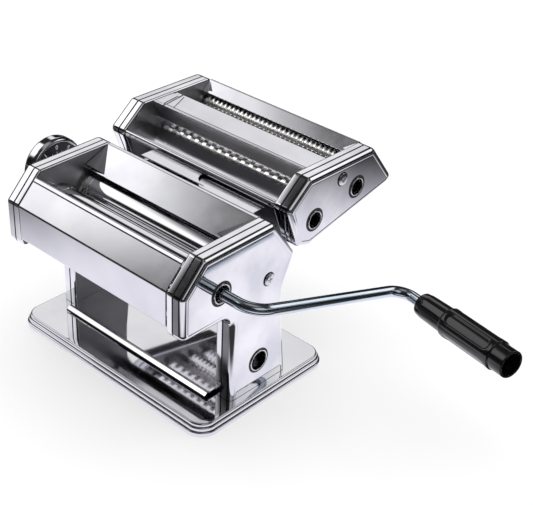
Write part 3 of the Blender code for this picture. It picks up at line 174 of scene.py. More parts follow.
# %% Colour drift
def make_colour_drift():
    """Slow change between two near colours, such as plating of uneven thickness."""
    group, given, result = shader_group(
        "colour drift",
        [("Light", "NodeSocketColor", (0.8, 0.8, 0.8, 1.0)),
         ("Deep", "NodeSocketColor", (0.7, 0.7, 0.7, 1.0)), ("Scale", "NodeSocketFloat", 25.0)],
        [("Colour", "NodeSocketColor")])
    place = add_node(group, "ShaderNodeTexCoord")
    noise = add_node(group, "ShaderNodeTexNoise", Detail=3.0)
    spread = add_node(group, "ShaderNodeMapRange", From_Min=0.34, From_Max=0.66)
    blend = add_node(group, "ShaderNodeMix")
    blend.data_type = "RGBA"
    wire(group,
         (place.outputs["Object"], noise.inputs["Vector"]),
         (given.outputs["Scale"], noise.inputs["Scale"]),
         (noise.outputs["Fac"], spread.inputs["Value"]),
         (spread.outputs["Result"], blend.inputs["Factor"]),
         (given.outputs["Light"], blend.inputs["A"]),
         (given.outputs["Deep"], blend.inputs["B"]),
         (blend.outputs["Result"], result.inputs["Colour"]))
    return group

COLOUR_DRIFT = make_colour_drift()
print("group:", COLOUR_DRIFT.name)

# %% Helper that places the groups in a material
def finish(name, light, deep, metallic, clean, marked, direction=(1.0, 30.0, 30.0), depth=0.000002,
           wave=1.0, patches=40.0):
    """A material whose colour, roughness and height each come from one of the groups."""
    made = bpy.data.materials.new(name)
    made.use_nodes = True
    tree = made.node_tree
    shader = tree.nodes["Principled BSDF"]
    shader.inputs["Metallic"].default_value = metallic
    kind = "ShaderNodeGroup"
    drift = add_node(tree, kind, group=COLOUR_DRIFT, Light=(*light, 1.0), Deep=(*deep, 1.0))
    marks = add_node(tree, kind, group=FINGER_MARKS, Patch_Scale=patches, Clean=clean, Marked=marked)
    belt = add_node(tree, kind, group=BELT_LINES, Direction=direction, Wave=wave)
    bump = add_node(tree, "ShaderNodeBump", Strength=1.0, Distance=depth)
    wire(tree,
         (drift.outputs["Colour"], shader.inputs["Base Color"]),
         (marks.outputs["Roughness"], shader.inputs["Roughness"]),
         (belt.outputs["Height"], bump.inputs["Height"]),
         (bump.outputs["Normal"], shader.inputs["Normal"]))
    return made

# %% The machine's finishes
SHEET_CHROME = finish("sheet chrome", (0.63, 0.63, 0.66), (0.58, 0.58, 0.615), 1.0, 0.10, 0.17)
SIDE_CHROME = finish("side chrome", (0.74, 0.74, 0.755), (0.55, 0.55, 0.59), 1.0, 0.05, 0.12,
                     direction=(30.0, 1.0, 12.0))
# Painted dark reflection for the right covers' edges that face the front.
PAINTED_DARK_REFLECTION = finish("burnished rim", (0.16, 0.16, 0.17), (0.10, 0.10, 0.105), 1.0, 0.10, 0.20)
# Satin: rougher than the plating, and darker as painted shade, for walls that lie in shade.
SATIN_AND_SHADE = finish("satin sheet", (0.50, 0.50, 0.52), (0.42, 0.42, 0.445), 1.0, 0.34, 0.44)
TRAY_CHROME = finish("tray chrome", (0.62, 0.62, 0.64), (0.56, 0.56, 0.59), 1.0, 0.025, 0.06,
                     depth=0.0000004, wave=0.3)
DRUM_CHROME = finish("drum chrome", (0.65, 0.65, 0.665), (0.60, 0.60, 0.62), 1.0, 0.04, 0.09, wave=0.2)
CUTTER_STEEL = finish("cutter steel", (0.88, 0.87, 0.85), (0.72, 0.71, 0.68), 1.0, 0.20, 0.32,
                      direction=(40.0, 2.0, 2.0), depth=0.000006, wave=0.2)
ROD_STEEL = finish("rod steel", (0.55, 0.61, 0.67), (0.47, 0.53, 0.60), 1.0, 0.12, 0.22, wave=0.2)
FASTENER_STEEL = finish("fastener steel", (0.60, 0.60, 0.62), (0.52, 0.52, 0.545), 1.0, 0.14, 0.24)
# Painted shade: a near black finish for the tray's grooves, the seams and the rings round eyelets and screws,
# where shade falls.
PAINTED_SHADE = finish("cut edge", (0.030, 0.030, 0.033), (0.018, 0.018, 0.020), 0.3, 0.45, 0.60)
GEAR_STEEL = finish("gear steel", (0.55, 0.55, 0.56), (0.40, 0.39, 0.38), 1.0, 0.25, 0.45,
                    depth=0.000008)
NYLON = finish("bearing nylon", (0.82, 0.80, 0.74), (0.74, 0.72, 0.66), 0.0, 0.45, 0.60,
               depth=0.00001)
BLACK_PLASTIC = finish("black plastic", (0.006, 0.006, 0.007), (0.004, 0.004, 0.0045), 0.0, 0.07, 0.15,
                       wave=0.4, patches=70.0)
DIAL_BLACK = finish("dial black", (0.005, 0.005, 0.006), (0.008, 0.008, 0.009), 0.0, 0.34, 0.46)
DIAL_WHITE = finish("dial white", (0.95, 0.95, 0.94), (0.88, 0.88, 0.87), 0.0, 0.40, 0.50)
LAND_STEEL = finish("land steel", (0.98, 0.97, 0.96), (0.92, 0.91, 0.90), 1.0, 0.18, 0.26)
UNDERSIDE = finish("underside plastic", (0.075, 0.075, 0.08), (0.055, 0.055, 0.06), 0.0, 0.50, 0.65,
                   depth=0.00002)
print("finishes:", len(bpy.data.materials))

# %% [markdown]
# ## From points to a piece
# Every piece starts as a list of points. The helpers below skin between rings of points, turn a
# profile about a line along X, or extrude the outline of a bent sheet. A flat plated face must stay
# flat in its reflections, so corner normals are weighted by face area after the sharp edges are marked.

# %% Helper that makes a closed mesh
def new_piece(name, points, faces, material):
    """A mesh object from points in millimetres, at the origin, with its faces outwards."""
    mesh = bpy.data.meshes.new(name)
    shape = bmesh.new()
    made = [shape.verts.new(Vector(p) * MM) for p in points]
    for face in faces:
        shape.faces.new([made[i] for i in face])
    bmesh.ops.recalc_face_normals(shape, faces=shape.faces)
    shape.to_mesh(mesh)
    shape.free()
    mesh.materials.append(material)
    piece = bpy.data.objects.new(name, mesh)
    bpy.context.scene.collection.objects.link(piece)
    return piece

# %% Helpers that settle and shade a piece
def settle(piece):
    """Replace a piece's modifiers by their result, as a plain mesh."""
    bpy.context.view_layer.update()
    graph = bpy.context.evaluated_depsgraph_get()
    mesh = bpy.data.meshes.new_from_object(piece.evaluated_get(graph))
    piece.modifiers.clear()
    piece.data = mesh
    mesh.name = piece.name
    return piece


def polish(piece, angle=32.0):
    """Smooth shading, sharp over an angle, with flat faces kept flat."""
    piece.data.shade_smooth()
    piece.data.set_sharp_from_angle(angle=math.radians(angle))
    weight = piece.modifiers.new("flat faces stay flat", "WEIGHTED_NORMAL")
    weight.keep_sharp = True
    weight.weight = 100
    return settle(piece)


def soften(piece, width, segments=3, angle=40.0):
    """Round the hard edges a little, so that they catch the light."""
    bevel = piece.modifiers.new("soft edges", "BEVEL")
    bevel.width = width * MM
    bevel.segments = segments
    bevel.limit_method = "ANGLE"
    bevel.angle_limit = math.radians(angle)
    return settle(piece)


def drill(piece, tools):
    """Cut tool pieces out of a piece and throw them away."""
    for tool in tools:
        cut = piece.modifiers.new("drill", "BOOLEAN")
        cut.operation = "DIFFERENCE"
        cut.solver = "EXACT"
        cut.object = tool
    settle(piece)
    for tool in tools:
        bpy.data.objects.remove(tool)
    return piece


def paint_faces(piece, material, chosen):
    """Give the faces that a test picks a second finish."""
    piece.data.materials.append(material)
    for face in piece.data.polygons:
        if chosen(face):
            face.material_index = len(piece.data.materials) - 1
    return piece


def hand_over(piece, body, slot, *nodes):
    """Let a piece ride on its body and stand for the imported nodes."""
    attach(piece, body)
    if nodes:
        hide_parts(*nodes)
    print(f"{piece.name}: {len(piece.data.polygons)} faces on {body}")
    return piece

# %% Helpers for rings, turned shapes and extrusions
def loft(name, rings, material, closed=False):
    """Skin between rings of equal point count, with both ends capped or the last joined to the first."""
    count = len(rings[0])
    points = [p for ring in rings for p in ring]
    faces = []
    for row in range(len(rings) if closed else len(rings) - 1):
        ahead = (row + 1) % len(rings)
        for i in range(count):
            j = (i + 1) % count
            faces.append((row * count + i, row * count + j, ahead * count + j, ahead * count + i))
    if not closed:
        faces.append(tuple(range(count)))
        faces.append(tuple((len(rings) - 1) * count + i for i in range(count)))
    return new_piece(name, points, faces, material)


def turned(name, profile, axis, material, sides=96, ring=False):
    """Turn (x, radius) points about a line along X; a radius of 0 lies on the axis."""
    points, rows, faces = [], [], []
    for x, radius in profile:
        if radius == 0:
            rows.append([len(points)])
            points.append((x, axis[0], axis[1]))
            continue
        rows.append([len(points) + i for i in range(sides)])
        for i in range(sides):
            angle = 2 * math.pi * (i + 0.5) / sides
            points.append((x, axis[0] + radius * math.cos(angle), axis[1] + radius * math.sin(angle)))
    pairs = list(zip(rows, rows[1:]))
    if ring:
        pairs.append((rows[-1], rows[0]))
    for low, high in pairs:
        for i in range(sides):
            j = (i + 1) % sides
            if len(low) == 1:
                faces.append((low[0], high[j], high[i]))
            elif len(high) == 1:
                faces.append((low[i], low[j], high[0]))
            else:
                faces.append((low[i], low[j], high[j], high[i]))
    return new_piece(name, points, faces, material)


def prism(name, outline, x_low, x_high, material):
    """Extrude an outline of (y, z) points along X."""
    return loft(name, [[(x, y, z) for y, z in outline] for x in (x_low, x_high)], material)


def plate(name, outline, low, high, material):
    """A flat sheet with an outline of (x, y) points, between two heights."""
    return loft(name, [[(x, y, z) for x, y in outline] for z in (low, high)], material)


def disc(axis, radius, sides=48):
    """Round outline about an axis."""
    steps = [2 * math.pi * (i + 0.5) / sides for i in range(sides)]
    return [(axis[0] + radius * math.cos(a), axis[1] + radius * math.sin(a)) for a in steps]


def rectangle(centre, half_wide, half_high):
    """Four corners round a centre."""
    corners = ((-1, -1), (1, -1), (1, 1), (-1, 1))
    return [(centre[0] + a * half_wide, centre[1] + b * half_high) for a, b in corners]

# %% Helpers for round corners
def unit(a, b):
    """Direction from one point to another, of length 1."""
    return (Vector(b) - Vector(a)).normalized()


def fillet(before, here, after, radius, steps):
    """Points of the arc that rounds the corner at here."""
    back, ahead = unit(here, before), unit(here, after)
    half = math.acos(max(-1.0, min(1.0, back.dot(ahead)))) / 2
    if radius <= 0 or half > math.radians(89.5):
        return [tuple(here)]
    room = 0.47 * min((Vector(before) - Vector(here)).length, (Vector(after) - Vector(here)).length)
    reach = min(radius / math.tan(half), room)
    radius = reach * math.tan(half)
    centre = Vector(here) + (back + ahead).normalized() * (radius / math.sin(half))
    start, end = Vector(here) + back * reach - centre, Vector(here) + ahead * reach - centre
    sweep = start.angle_signed(end)
    points = []
    for i in range(steps + 1):
        turn = -sweep * i / steps
        c, s = math.cos(turn), math.sin(turn)
        points.append((centre.x + c * start.x - s * start.y, centre.y + s * start.x + c * start.y))
    return points


def bent_path(corners, steps=6):
    """Open path with its inner corners (a, b, radius) rounded."""
    path = [tuple(corners[0][:2])]
    for i in range(1, len(corners) - 1):
        path += fillet(corners[i - 1][:2], corners[i][:2], corners[i + 1][:2], corners[i][2], steps)
    path.append(tuple(corners[-1][:2]))
    return path


def inset_corners(corners, inset):
    """Move every side of a closed outline inwards and keep its round corners concentric."""
    flat = [Vector(c[:2]) for c in corners]
    count = len(flat)
    area = sum(a.x * b.y - b.x * a.y for a, b in zip(flat, flat[1:] + flat[:1]))
    side = 1.0 if area > 0 else -1.0
    moved = []
    for i in range(count):
        before, after = unit(flat[i - 1], flat[i]), unit(flat[i], flat[(i + 1) % count])
        turn = before.x * after.y - before.y * after.x
        in_before = Vector((-before.y, before.x)) * side
        in_after = Vector((-after.y, after.x)) * side
        middle = (in_before + in_after).normalized()
        point = flat[i] + middle * (inset / middle.dot(in_before))
        radius = max(corners[i][2] - inset, 0.4) if turn * side > 0 else corners[i][2] + inset
        moved.append((point.x, point.y, radius))
    return moved


def rounded(corners, inset=0.0, steps=8):
    """Closed outline with its corners rounded."""
    moved = inset_corners(corners, inset)
    outline = []
    for i in range(len(moved)):
        after = moved[(i + 1) % len(moved)]
        outline += fillet(moved[i - 1][:2], moved[i][:2], after[:2], moved[i][2], steps)
    return outline


def sheet_outline(corners, thickness, steps=6):
    """Outline of a folded sheet whose middle follows the corners (y, z, bend radius)."""
    path = [Vector(p) for p in bent_path(corners, steps)]
    left, right = [], []
    for i, point in enumerate(path):
        before = unit(path[i - 1], point) if i else None
        after = unit(point, path[i + 1]) if i < len(path) - 1 else None
        before, after = before or after, after or before
        side = (Vector((-before.y, before.x)) + Vector((-after.y, after.x))).normalized()
        reach = thickness / 2 / side.dot(Vector((-after.y, after.x)))
        left.append(point + side * reach)
        right.append(point - side * reach)
    return [tuple(p) for p in left + right[::-1]]


sample = [(x, y, 1.0) for x, y in rectangle((0.0, 0.0), 5.0, 5.0)]
print("a square with round corners has", len(rounded(sample)), "points")

# %% [markdown]
# ## Tray
# The tray is pressed from one plated sheet. Two beads step in round its edge before the flat top.
# A profile of (inset, height) is rounded once and then carried round the rectangle, ring by ring.
# The faces in the narrow grooves between the beads are near black, as painted shade.

# %% Tray
TRAY_CORNER = 15.0
TRAY_OUTLINE = [(x, y, TRAY_CORNER) for x, y in rectangle((0.0, 0.0), 102.5, 67.95)]
TRAY_PROFILE = [(0.0, 0.0, 0), (0.0, 3.1, 0.9), (1.3, 3.5, 0.5), (1.3, 6.2, 0.9), (2.6, 6.6, 0.5),
                (2.6, 9.5, 2.0), (7.5, 9.5, 0)]
TRAY_INSIDE = [(6.5, 8.1), (4.0, 7.2), (1.6, 2.6), (1.4, 0.0)]
tray_rings = [[(x, y, z) for x, y in rounded(TRAY_OUTLINE, inset, 12)]
              for inset, z in TRAY_INSIDE + bent_path(TRAY_PROFILE, 5)]
tray = loft("tray", tray_rings, TRAY_CHROME)
GROOVES = (3.62, 6.72)
GROOVE_HALF = 0.28


def in_groove(face):
    """Whether a face of the tray lies in a groove between two beads."""
    height = face.center.z / MM
    return face.normal.z < 0.97 and any(abs(height - groove) < GROOVE_HALF for groove in GROOVES)


# Painted shade in the grooves between the beads.
paint_faces(tray, PAINTED_SHADE, in_groove)
hand_over(polish(tray), "stand", "chrome_sheet", "base_tray")

# %% [markdown]
# ## Deck between the legs
# A thin plate lies on the tray between the legs and ties them together. Its front edge rises in a
# low bead. It is a folded sheet, so its section is drawn once and extruded along the machine.

# %% Helper for folded sheets, and the deck
SPAN = INNER_X - CLEAR


def bent_sheet(name, corners, material, thickness=1.0):
    """A folded sheet that spans from one side box to the other."""
    return prism(name, sheet_outline(corners, thickness), -SPAN, SPAN, material)


DECK_FOLDS = [(-40.6, 10.2, 0), (-40.0, 11.3, 0.6), (-37.4, 13.4, 1.0), (-35.6, 12.6, 0.8),
              (32.0, 12.6, 1.0), (33.2, 10.2, 0)]
deck = bent_sheet("base_deck", DECK_FOLDS, TRAY_CHROME, 0.8)
hand_over(polish(deck, 40.0), "stand", "chrome_sheet")

# %% [markdown]
# ## Side boxes
# Each side of the machine is a hollow box of two pressed halves. The inner pan faces the rollers.
# The outer cover has a deep round edge and meets the pan at a narrow dark seam. The same two
# profiles serve the main boxes and the smaller ones of the cutter head. A face's finish follows from
# where it lies: the walls between the boxes are satin and darker as painted shade, the edges at the
# seam are near black as painted shade, and the right covers' edges towards the front are darkened as
# a painted dark reflection.

# %% Profiles of the pan and of the cover
SEAM_BAND = 0.75
FACE_LINE = 0.2


def pan_steps():
    """(x, inset) from the pan's hidden inner face, round its rim to the face beside the rollers."""
    rim = bent_path([(SEAM_X, 2.0, 0), (SEAM_X, 0.0, 0.5), (INNER_X, 0.0, 1.9), (INNER_X, 6.0, 0)], 5)
    return [(INNER_X + 1.6, WALL), (SEAM_X - 0.4, WALL)] + rim[1:-1]


def cover_steps():
    """(x, inset) from the cover's hidden inner face, round its rim and its deep edge to the face."""
    seam = SEAM_X + CLEAR
    inside = [(OUTER_X - WALL, EDGE_ROUND), (OUTER_X - EDGE_ROUND, WALL), (seam + 0.4, WALL)]
    rim = bent_path([(seam, 2.0, 0), (seam, 0.0, 0.6), (OUTER_X, 0.0, EDGE_ROUND), (OUTER_X, 9.0, 0)], 9)
    line = [(OUTER_X - FACE_LINE, EDGE_ROUND + 0.35), (OUTER_X - FACE_LINE, EDGE_ROUND + 0.6),
            (OUTER_X, EDGE_ROUND + 1.0)]
    return inside + rim[1:-1] + line


def shell(name, side, outline, steps):
    """A pan or cover, with a painted dark reflection on a right cover's front edge, satin inner faces
    darkened as painted shade, and painted shade at the seam.
    """
    rings = [[(side * x, y, z) for y, z in rounded(outline, inset)] for x, inset in steps]
    piece = loft(name, rings, SIDE_CHROME)

    def reach(face):
        """Distances of a face's corners from the machine's middle."""
        return [abs(piece.data.vertices[v].co.x) / MM for v in face.vertices]

    def forward(face):
        """Whether a face of a right box looks to the front."""
        return side > 0 and face.normal.y < -0.3 and face.normal.z > -0.2 and abs(face.normal.x) < 0.3

    # Painted dark reflection on the front-facing edges of the right covers.
    paint_faces(piece, PAINTED_DARK_REFLECTION, lambda face: forward(face) and min(reach(face)) > SEAM_X)
    # Walls that face the machine's middle are satin, darker as painted shade.
    paint_faces(piece, SATIN_AND_SHADE, lambda face: side * face.normal.x < -0.9)
    # Painted shade: the faces at the seam are near black, where the gap is in shadow.
    paint_faces(piece, PAINTED_SHADE, lambda face: min(reach(face)) > SEAM_X - SEAM_BAND
                and max(reach(face)) < SEAM_X + CLEAR + SEAM_BAND)
    return piece


print("rings of a pan and of a cover:", len(pan_steps()), len(cover_steps()))

# %% Tools for the holes
BUSH_HOLE_R, SCREW_HOLE_R = 11.6, 2.2
RECESS_R, RECESS_DEPTH = 5.6, 0.6
GAP_TRAVEL = 2.4
THROUGH_BOTH, THROUGH_PAN, THROUGH_COVER = (70, 100), (INNER_X - 3, INNER_X + 3), (89, 97)


def side_tool(side, outline, near, far):
    """Tool through one side box, between two distances from the machine's middle."""
    return prism("hole", outline, *sorted((side * near, side * far)), None)


def foot_tool():
    """Block that trims both legs level with the tray."""
    return prism("hole", [(-40, -8), (40, -8), (40, FOOT_Z), (-40, FOOT_Z)], -110, 110, None)


def bearing_tools(side):
    """Round hole for the fixed bush and a slot for the sliding one."""
    near, far = disc((REAR_AXIS[0] - GAP_TRAVEL, REAR_AXIS[1]), BUSH_HOLE_R), disc(REAR_AXIS, BUSH_HOLE_R)
    slot = near[12:36] + far[36:] + far[:12]
    return [side_tool(side, outline, *THROUGH_PAN) for outline in (disc(FRONT_AXIS, BUSH_HOLE_R), slot)]


def screw_tool(side, place):
    """Round hole for a screw."""
    return side_tool(side, disc(place, SCREW_HOLE_R, 24), *THROUGH_BOTH)


def recess_tool(side, place):
    """Shallow round recess that a screw's head sits in."""
    return side_tool(side, disc(place, RECESS_R), OUTER_X - RECESS_DEPTH, OUTER_X + 3)


print("bush hole", 2 * BUSH_HOLE_R, "mm, recess", 2 * RECESS_R, "mm across")

# %% Pans and covers of the main boxes
SIDE_SCREWS = {-1: (-63.0, 98.0), 1: (5.0, 99.3)}
CLAMP_HOLE = (-2.0, 32.7)
CRANK_HOLE_R, CLAMP_HOLE_R, KNOB_HOLE_R = 9.7, 10.1, 6.5
COVER_HOLES = {-1: [disc(REAR_AXIS, KNOB_HOLE_R)],
               1: [disc(FRONT_AXIS, CRANK_HOLE_R), disc(CLAMP_HOLE, CLAMP_HOLE_R)]}
for label, side in (("left", -1), ("right", 1)):
    screw = SIDE_SCREWS[side]
    pan = shell("side_pan_" + label, side, BOX_OUTLINE, pan_steps())
    drill(pan, [foot_tool(), *bearing_tools(side), screw_tool(side, screw)])
    hand_over(polish(pan), "stand", "chrome_sheet", "side_frame_" + label)
    cover = shell("side_cover_fine_" + label, side, BOX_OUTLINE, cover_steps())
    holes = [side_tool(side, outline, *THROUGH_COVER) for outline in COVER_HOLES[side]]
    drill(cover, [foot_tool(), screw_tool(side, screw), recess_tool(side, screw), *holes])
    hand_over(polish(cover), "stand", "chrome_sheet", "side_cover_" + label)

# %% [markdown]
# ## Body sheets
# The front cover turns in at its foot, rises, slopes back and ends in a narrow rolled lip at the
# hopper. The rear cover starts as the hopper's rear wall, runs over a flat crest and falls away as
# the slope that carries the cutter head. Each is one bent line with a thickness.
# At each end of the hopper a thin corner is folded between the wall and the side frame. It is small
# and has only flat faces, so its eight points are worked out directly.

# %% Front and rear covers
FRONT_FOLDS = [(-69.3, 91.0, 0), (-77.8, 91.0, 1.5), (-77.8, 118.7, 1.8), (-63.6, 133.4, 0.5),
               (-63.3, 134.3, 0.5), (-60.9, 136.6, 1.3), (-57.9, 128.5, 0)]
front_sheet = bent_sheet("front_sheet", FRONT_FOLDS, SHEET_CHROME)
hand_over(polish(front_sheet), "stand", "chrome_sheet", "front_cover")
REAR_FOLDS = [(-14.0, 127.5, 0), (7.4, 140.1, 1.2), (10.0, 140.3, 1.2), (31.6, 110.5, 2.5),
              (24.0, 93.0, 0)]
rear_sheet = bent_sheet("rear_sheet", REAR_FOLDS, SHEET_CHROME)
hand_over(polish(rear_sheet), "stand", "chrome_sheet", "rear_cover")

# %% Folded corners of the hopper
GUIDE_THICKNESS = Vector((0.0, -0.35, 0.6))
GUIDE_CREASE = Vector((0, -0.3, 0.35))
GUIDE_FACES = [(0, 1, 2), (0, 2, 3), (4, 6, 5), (4, 7, 6),
               (0, 4, 5, 1), (1, 5, 6, 2), (2, 6, 7, 3), (3, 7, 4, 0)]


def corner_guide(name, side, crest, foot, web_foot, reach, material, body):
    """Two thin triangles folded between a wall and the side frame, to lead the dough inwards."""
    x = side * (SPAN - 0.2)
    outer = Vector((x, *web_foot))
    inner = Vector((side * (SPAN - reach), *foot))
    crease = outer.lerp(inner, 0.62) + GUIDE_CREASE
    front = [Vector((x, *crest)), outer, crease, inner]
    guide = new_piece(name, front + [p - GUIDE_THICKNESS for p in front], GUIDE_FACES, material)
    hand_over(polish(guide, 5.0), body, "chrome_sheet")


for label, side in (("left", -1), ("right", 1)):
    # The hopper's corners have the satin finish, darker as painted shade.
    corner_guide("hopper_guide_" + label, side, (6.6, 140.6), (-13.2, 129.2), (-15.0, 131.5), 18.0,
                 SATIN_AND_SHADE, "stand")
    corner_guide("lip_guide_" + label, side, (-59.0, 135.2), (-44.0, 126.4), (-46.0, 125.8), 15.0,
                 SHEET_CHROME, "stand")

# %% [markdown]
# ## Rollers
# The dough passes between two polished drums. The front one is fixed and takes the crank. The rear
# one slides with its bushes. Turned parts are a profile spun about the axis, with a fine chamfer at
# each end, and a ring line near the left end where the drum is pressed on its journal.

# %% Drums
DRUM_END, DRUM_R, DRUM_EDGE_R = 74.5, 15.1, 14.5
SHAFT_LEFT, SHAFT_STEP, SHAFT_RIGHT = -87.0, -81.0, 81.3
SHAFT_R, SHAFT_END_R, REAR_BORE_R = 9.0, 7.0, 4.5
RING_LINE_R = DRUM_R - 0.25
SOCKET_HALF, SOCKET_DEPTH = 3.6, (68.1, 97.0)


def drum_profile(bore):
    """(x, radius) from the left shaft end to the right end of the drum, over the outside."""
    return [(SHAFT_LEFT, bore), (SHAFT_LEFT, SHAFT_END_R), (SHAFT_STEP, SHAFT_END_R), (SHAFT_STEP, SHAFT_R),
            (-DRUM_END, SHAFT_R), (-DRUM_END, DRUM_EDGE_R), (-DRUM_END + 0.6, DRUM_R), (-68.6, DRUM_R),
            (-68.4, RING_LINE_R), (-68.0, RING_LINE_R), (-67.8, DRUM_R), (DRUM_END - 0.6, DRUM_R),
            (DRUM_END, DRUM_EDGE_R), (DRUM_END, SHAFT_R), (SHAFT_RIGHT, SHAFT_R)]


def socket_tool(axis):
    """Square hole in a driven shaft, for the crank's tip."""
    return prism("hole", rectangle(axis, SOCKET_HALF, SOCKET_HALF), *SOCKET_DEPTH, None)


front_profile = drum_profile(0) + [(SHAFT_RIGHT, 6.2), (88.2, 6.2), (88.6, 5.8), (88.6, 0)]
front_drum = turned("front_drum", front_profile, FRONT_AXIS, DRUM_CHROME)
hand_over(polish(drill(front_drum, [socket_tool(FRONT_AXIS)])), "front_drum", "roller_steel", "front_roller")
rear_profile = drum_profile(REAR_BORE_R) + [(SHAFT_RIGHT, REAR_BORE_R)]
rear_drum = turned("rear_drum", rear_profile, REAR_AXIS, DRUM_CHROME, ring=True)
hand_over(polish(rear_drum), "rear_drum", "roller_steel", "rear_roller")

# %% [markdown]
# ## Eyelets
# A small turned eyelet lines each hole that the crank or the clamp goes into. Its lip is rounded,
# which gives the bright ring round the dark hole. A flat near black ring, painted shade, fills the gap
# between the eyelet and the pierced cover, so each bright ring is set off by a black one.

# %% Eyelets
def eyelet(name, axis, bore, outer, body, node):
    """Ring with a rounded lip, proud of the cover."""
    high, low = OUTER_X + 0.8, OUTER_X - 2.7
    lip = bent_path([(low, outer, 0), (high, outer, 0.7), (high, bore, 0.5), (low, bore, 0)], 5)
    ring = turned(name, lip, axis, FASTENER_STEEL, 64, ring=True)
    hand_over(polish(ring), body, "fastener_steel", node)


def dark_ring(name, axis, inner, outer, side, body, depth=0.9):
    """Flat near black ring, painted shade, that fills the gap round an eyelet or a screw's head."""
    back, front = OUTER_X - depth, OUTER_X + 0.15
    steps = [(back, outer), (front, outer), (front, inner), (back, inner)]
    ring = turned(name, [(side * x, radius) for x, radius in steps], axis, PAINTED_SHADE, 64, ring=True)
    hand_over(polish(soften(ring, 0.1, 2)), body, "fastener_steel")


WIDE_AXIS, FINE_AXIS = (51.0, 128.8), (97.0, 138.5)
HEAD_HOLE_R = 9.1
EYELETS = [
    ("crank_eyelet", "crank_eyelet", FRONT_AXIS, 6.5, 7.7, CRANK_HOLE_R, "stand", "crank_ring"),
    ("clamp_eyelet_fine", "clamp_eyelet", CLAMP_HOLE, 7.4, 8.6, CLAMP_HOLE_R, "stand", "clamp_eyelet"),
    ("wide_eyelet", "wide_eyelet", WIDE_AXIS, 6.1, 7.2, HEAD_HOLE_R, "cutter_head", "wide_socket_ring"),
    ("fine_eyelet", "fine_eyelet", FINE_AXIS, 6.1, 7.2, HEAD_HOLE_R, "cutter_head", "fine_socket_ring"),
]
# Rings of painted shade round the eyelets.
for _, stem, axis, _, outer, hole_r, body, _ in EYELETS:
    dark_ring(stem + "_ring", axis, outer + 0.05, hole_r - 0.1, 1, body)
for name, _, axis, bore, outer, _, body, node in EYELETS:
    eyelet(name, axis, bore, outer, body, node)

# %% [markdown]
# ## Cutter head
# The cutter head is a second, smaller machine: two side boxes, a guard in front of the wide cutter,
# a roof between the cutters and a panel behind the fine one. It slides down the rear slope on a
# docking plate held by two rails.

# %% Side boxes of the cutter head
PAIR_STEP = (17.603, 3.902)
WIDE_REAR = (WIDE_AXIS[0] + PAIR_STEP[0], WIDE_AXIS[1] + PAIR_STEP[1])
FINE_REAR = (FINE_AXIS[0] + PAIR_STEP[0], FINE_AXIS[1] + PAIR_STEP[1])
HEAD_SCREW = (79.5, 151.0)
PLAIN_HOLE_R, DRIVEN_HOLE_R = 4.9, 6.2
for label, side in (("left", -1), ("right", 1)):
    pan = shell("cutter_pan_" + label, side, HEAD_OUTLINE, pan_steps())
    front_r = DRIVEN_HOLE_R if side > 0 else PLAIN_HOLE_R
    shafts = [(WIDE_AXIS, front_r), (FINE_AXIS, front_r),
              (WIDE_REAR, PLAIN_HOLE_R), (FINE_REAR, PLAIN_HOLE_R)]
    tools = [side_tool(side, disc(axis, radius), *THROUGH_PAN) for axis, radius in shafts]
    drill(pan, tools + [screw_tool(side, HEAD_SCREW)])
    hand_over(polish(pan), "cutter_head", "chrome_sheet", "cutter_frame_" + label)
    cover = shell("cutter_cover_fine_" + label, side, HEAD_OUTLINE, cover_steps())
    tools = [screw_tool(side, HEAD_SCREW), recess_tool(side, HEAD_SCREW)]
    if side > 0:
        tools += [side_tool(side, disc(axis, HEAD_HOLE_R), *THROUGH_COVER) for axis in (WIDE_AXIS, FINE_AXIS)]
    drill(cover, tools)
    hand_over(polish(cover), "cutter_head", "chrome_sheet", "cutter_cover_" + label)

# %% [markdown]
# ## Sheets of the cutter head
# Folded sheets close the head. The guard carries a feed plate and ends in a rolled bar over the
# slope, the roof has a pressed groove near its front fold, and the panel leans over the fine cutter.
# The small flat pieces lie on the roof and over the docking gap. Each section is drawn once and
# extruded, as the real ones are bent from one strip. The guard's front wall and the roof's groove
# have the satin finish, whose darker colour is painted shade.

# %% Folded sheets of the head
GUARD_FOLDS = [(49.5, 144.2, 0), (29.0, 143.3, 0.6), (28.4, 145.9, 1.4), (25.2, 145.7, 1.5),
               (25.0, 142.4, 1.3), (27.7, 140.0, 0.8), (34.6, 115.0, 1.5), (40.0, 112.2, 0)]
ROOF_TOP = 161.8
ROOF_FOLDS = [(60.5, 147.2, 0), (54.5, ROOF_TOP, 1.0), (56.4, ROOF_TOP, 0.8), (57.8, 161.3, 0.8),
              (80.0, 161.3, 1.2), (80.0, 158.6, 0)]
PANEL_FOLDS = [(108.3, 154.5, 0), (117.3, 162.2, 1.2), (139.5, 132.6, 2.0), (133.9, 128.9, 0)]
guard = bent_sheet("guard_sheet", GUARD_FOLDS, SHEET_CHROME)
# The guard's low front wall is satin and darker, as painted shade.
paint_faces(guard, SATIN_AND_SHADE, lambda face: face.normal.y < -0.5 and face.center.z < 141.0 * MM)
hand_over(polish(guard), "cutter_head", "chrome_sheet", "cutter_guard")
panel = bent_sheet("panel_sheet", PANEL_FOLDS, SHEET_CHROME)
hand_over(polish(panel), "cutter_head", "chrome_sheet", "cutter_rear_panel")
roof = bent_sheet("roof_sheet", ROOF_FOLDS, SHEET_CHROME)
ROOF_GROOVE = [(-66.5, 53.0), (-65.1, 53.0), (-70.1, 82.0), (-71.5, 82.0)]
drill(roof, [plate("hole", ROOF_GROOVE, 160.0, 164.0, None)])
# The front faces under the roof are satin and darker, as painted shade.
paint_faces(roof, SATIN_AND_SHADE, lambda face: face.normal.y < -0.8 and face.center.z < 160.5 * MM)
hand_over(polish(roof), "cutter_head", "chrome_sheet", "cutter_roof")

